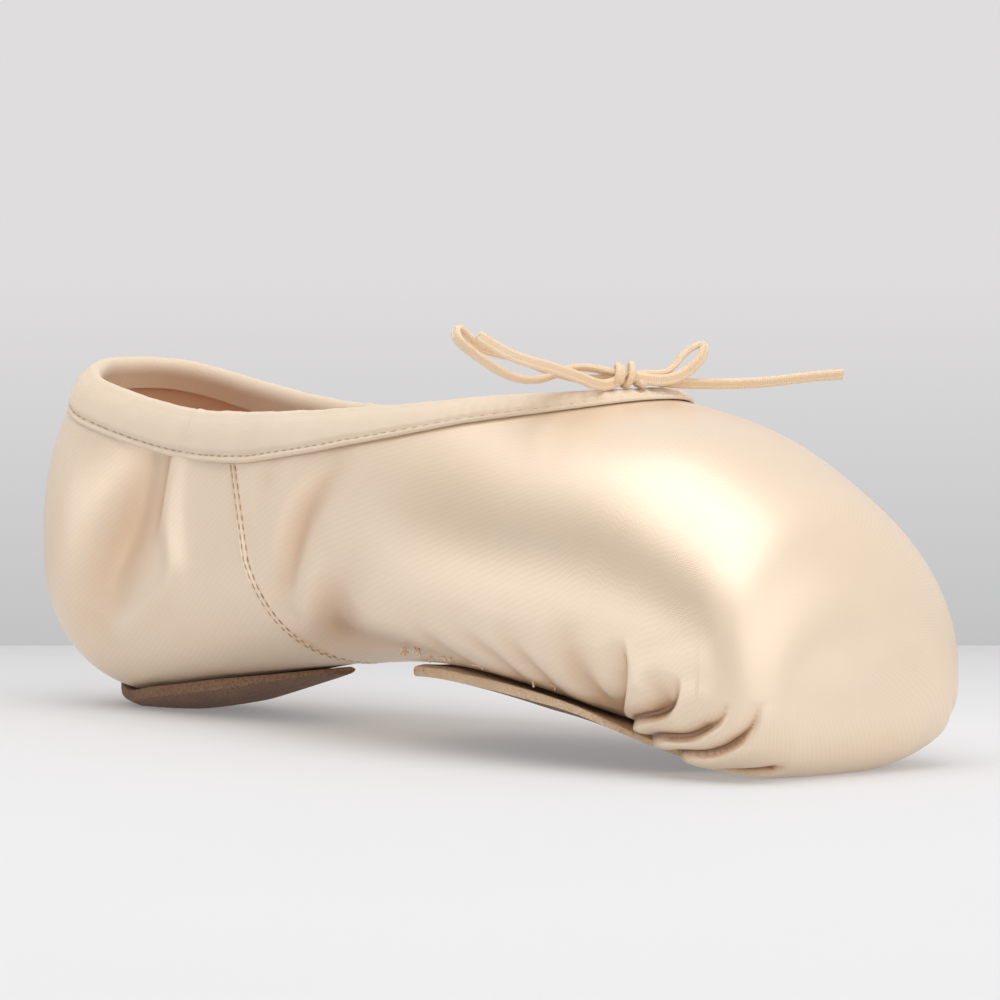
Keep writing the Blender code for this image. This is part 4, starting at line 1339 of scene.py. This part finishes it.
def make_wall_paper():
    """A wall that glows with painted light, darker towards the floor as painted shade, and that views from
    behind look through.
    """
    material, tree, shader = new_material("wall_paper", Roughness=0.9, Specular_IOR_Level=0.0)
    shader.inputs["Base Color"].default_value = (0.02, 0.02, 0.02, 1.0)
    place = add_node(tree, "ShaderNodeTexCoord").outputs["Object"]
    height = add_node(tree, "ShaderNodeSeparateXYZ", {0: place}).outputs["Z"]
    rise = add_node(tree, "ShaderNodeMapRange", {"Value": height, "From Max": 0.085}).outputs[0]
    grain = add_node(tree, "ShaderNodeTexNoise", {"Vector": place, "Scale": 3.0}).outputs["Fac"]
    # Painted shade: the wall's glow is darker low down, by the floor.
    tone = mix_colours(tree, rise, colour(195, 195, 196), colour(224, 222, 223))
    tone = mix_colours(tree, stretch(tree, grain, 0.0, 0.04), tone, colour(230, 230, 230))
    tree.links.new(tone, shader.inputs["Emission Color"])
    shader.inputs["Emission Strength"].default_value = 0.96
    behind = add_node(tree, "ShaderNodeNewGeometry").outputs["Backfacing"]
    clear = add_node(tree, "ShaderNodeBsdfTransparent").outputs[0]
    mixer = add_node(tree, "ShaderNodeMixShader", {0: behind, 1: shader.outputs[0], 2: clear})
    tree.links.new(mixer.outputs[0], tree.nodes["Material Output"].inputs["Surface"])
    return material


def aim(place, target):
    """A matrix at a place whose -Z looks at a target."""
    turn = (Vector(target) - Vector(place)).to_track_quat("-Z", "Y")
    return Matrix.LocRotScale(Vector(place), turn, None)


def add_softbox(name, place, target, size, power):
    data = bpy.data.lights.new(name, "AREA")
    data.shape = "RECTANGLE"
    data.size, data.size_y = size
    data.energy = power
    lamp = bpy.data.objects.new(name, data)
    lamp.matrix_world = aim(place, target)
    bpy.context.collection.objects.link(lamp)


def view_place(right, back, up):
    """A place given in the camera's bearing: metres to its right, towards it and up."""
    side = Vector((math.cos(CAMERA_AZIMUTH), math.sin(CAMERA_AZIMUTH), 0.0))
    towards = Vector((math.sin(CAMERA_AZIMUTH), -math.cos(CAMERA_AZIMUTH), 0.0))
    centre = Vector((CAMERA_TARGET.x, CAMERA_TARGET.y, 0.0))
    return centre + side * right + towards * back + Vector((0.0, 0.0, up))


add_stage_plane("floor", FLOOR_SIZE, make_floor_paper(), Matrix.Identity(4))
wall_centre = view_place(0.0, -WALL_DISTANCE, 0.0)
wall_turn = aim(wall_centre, view_place(0.0, WALL_FACES, 0.0))
add_stage_plane("wall", WALL_SIZE, make_wall_paper(), wall_turn)
for name, place, target, size, power in SOFTBOXES:
    add_softbox(name, view_place(*place), view_place(*target), size, power)


def make_studio():
    """A pale room with a darker place high on the left, which shades a band along the satin."""
    world = bpy.data.worlds.new("studio")
    world.use_nodes = True
    tree = world.node_tree
    heading = add_node(tree, "ShaderNodeTexCoord").outputs["Generated"]
    dark_way = (view_place(*DARK_PLACE) - view_place(0.0, 0.0, 0.0)).normalized()
    near = add_node(tree, "ShaderNodeVectorMath", {0: heading, 1: dark_way}, operation="DOT_PRODUCT")
    strength = add_node(tree, "ShaderNodeMapRange", {
        "Value": near.outputs["Value"], "From Min": 0.72, "From Max": 0.95,
        "To Min": ROOM_LIGHT, "To Max": DARK_LIGHT,
    }, interpolation_type="SMOOTHSTEP").outputs[0]
    background = tree.nodes["Background"]
    background.inputs["Color"].default_value = (0.80, 0.79, 0.80, 1.0)
    tree.links.new(strength, background.inputs["Strength"])
    return world


bpy.context.scene.world = make_studio()
bpy.context.scene.view_settings.view_transform = "Standard"
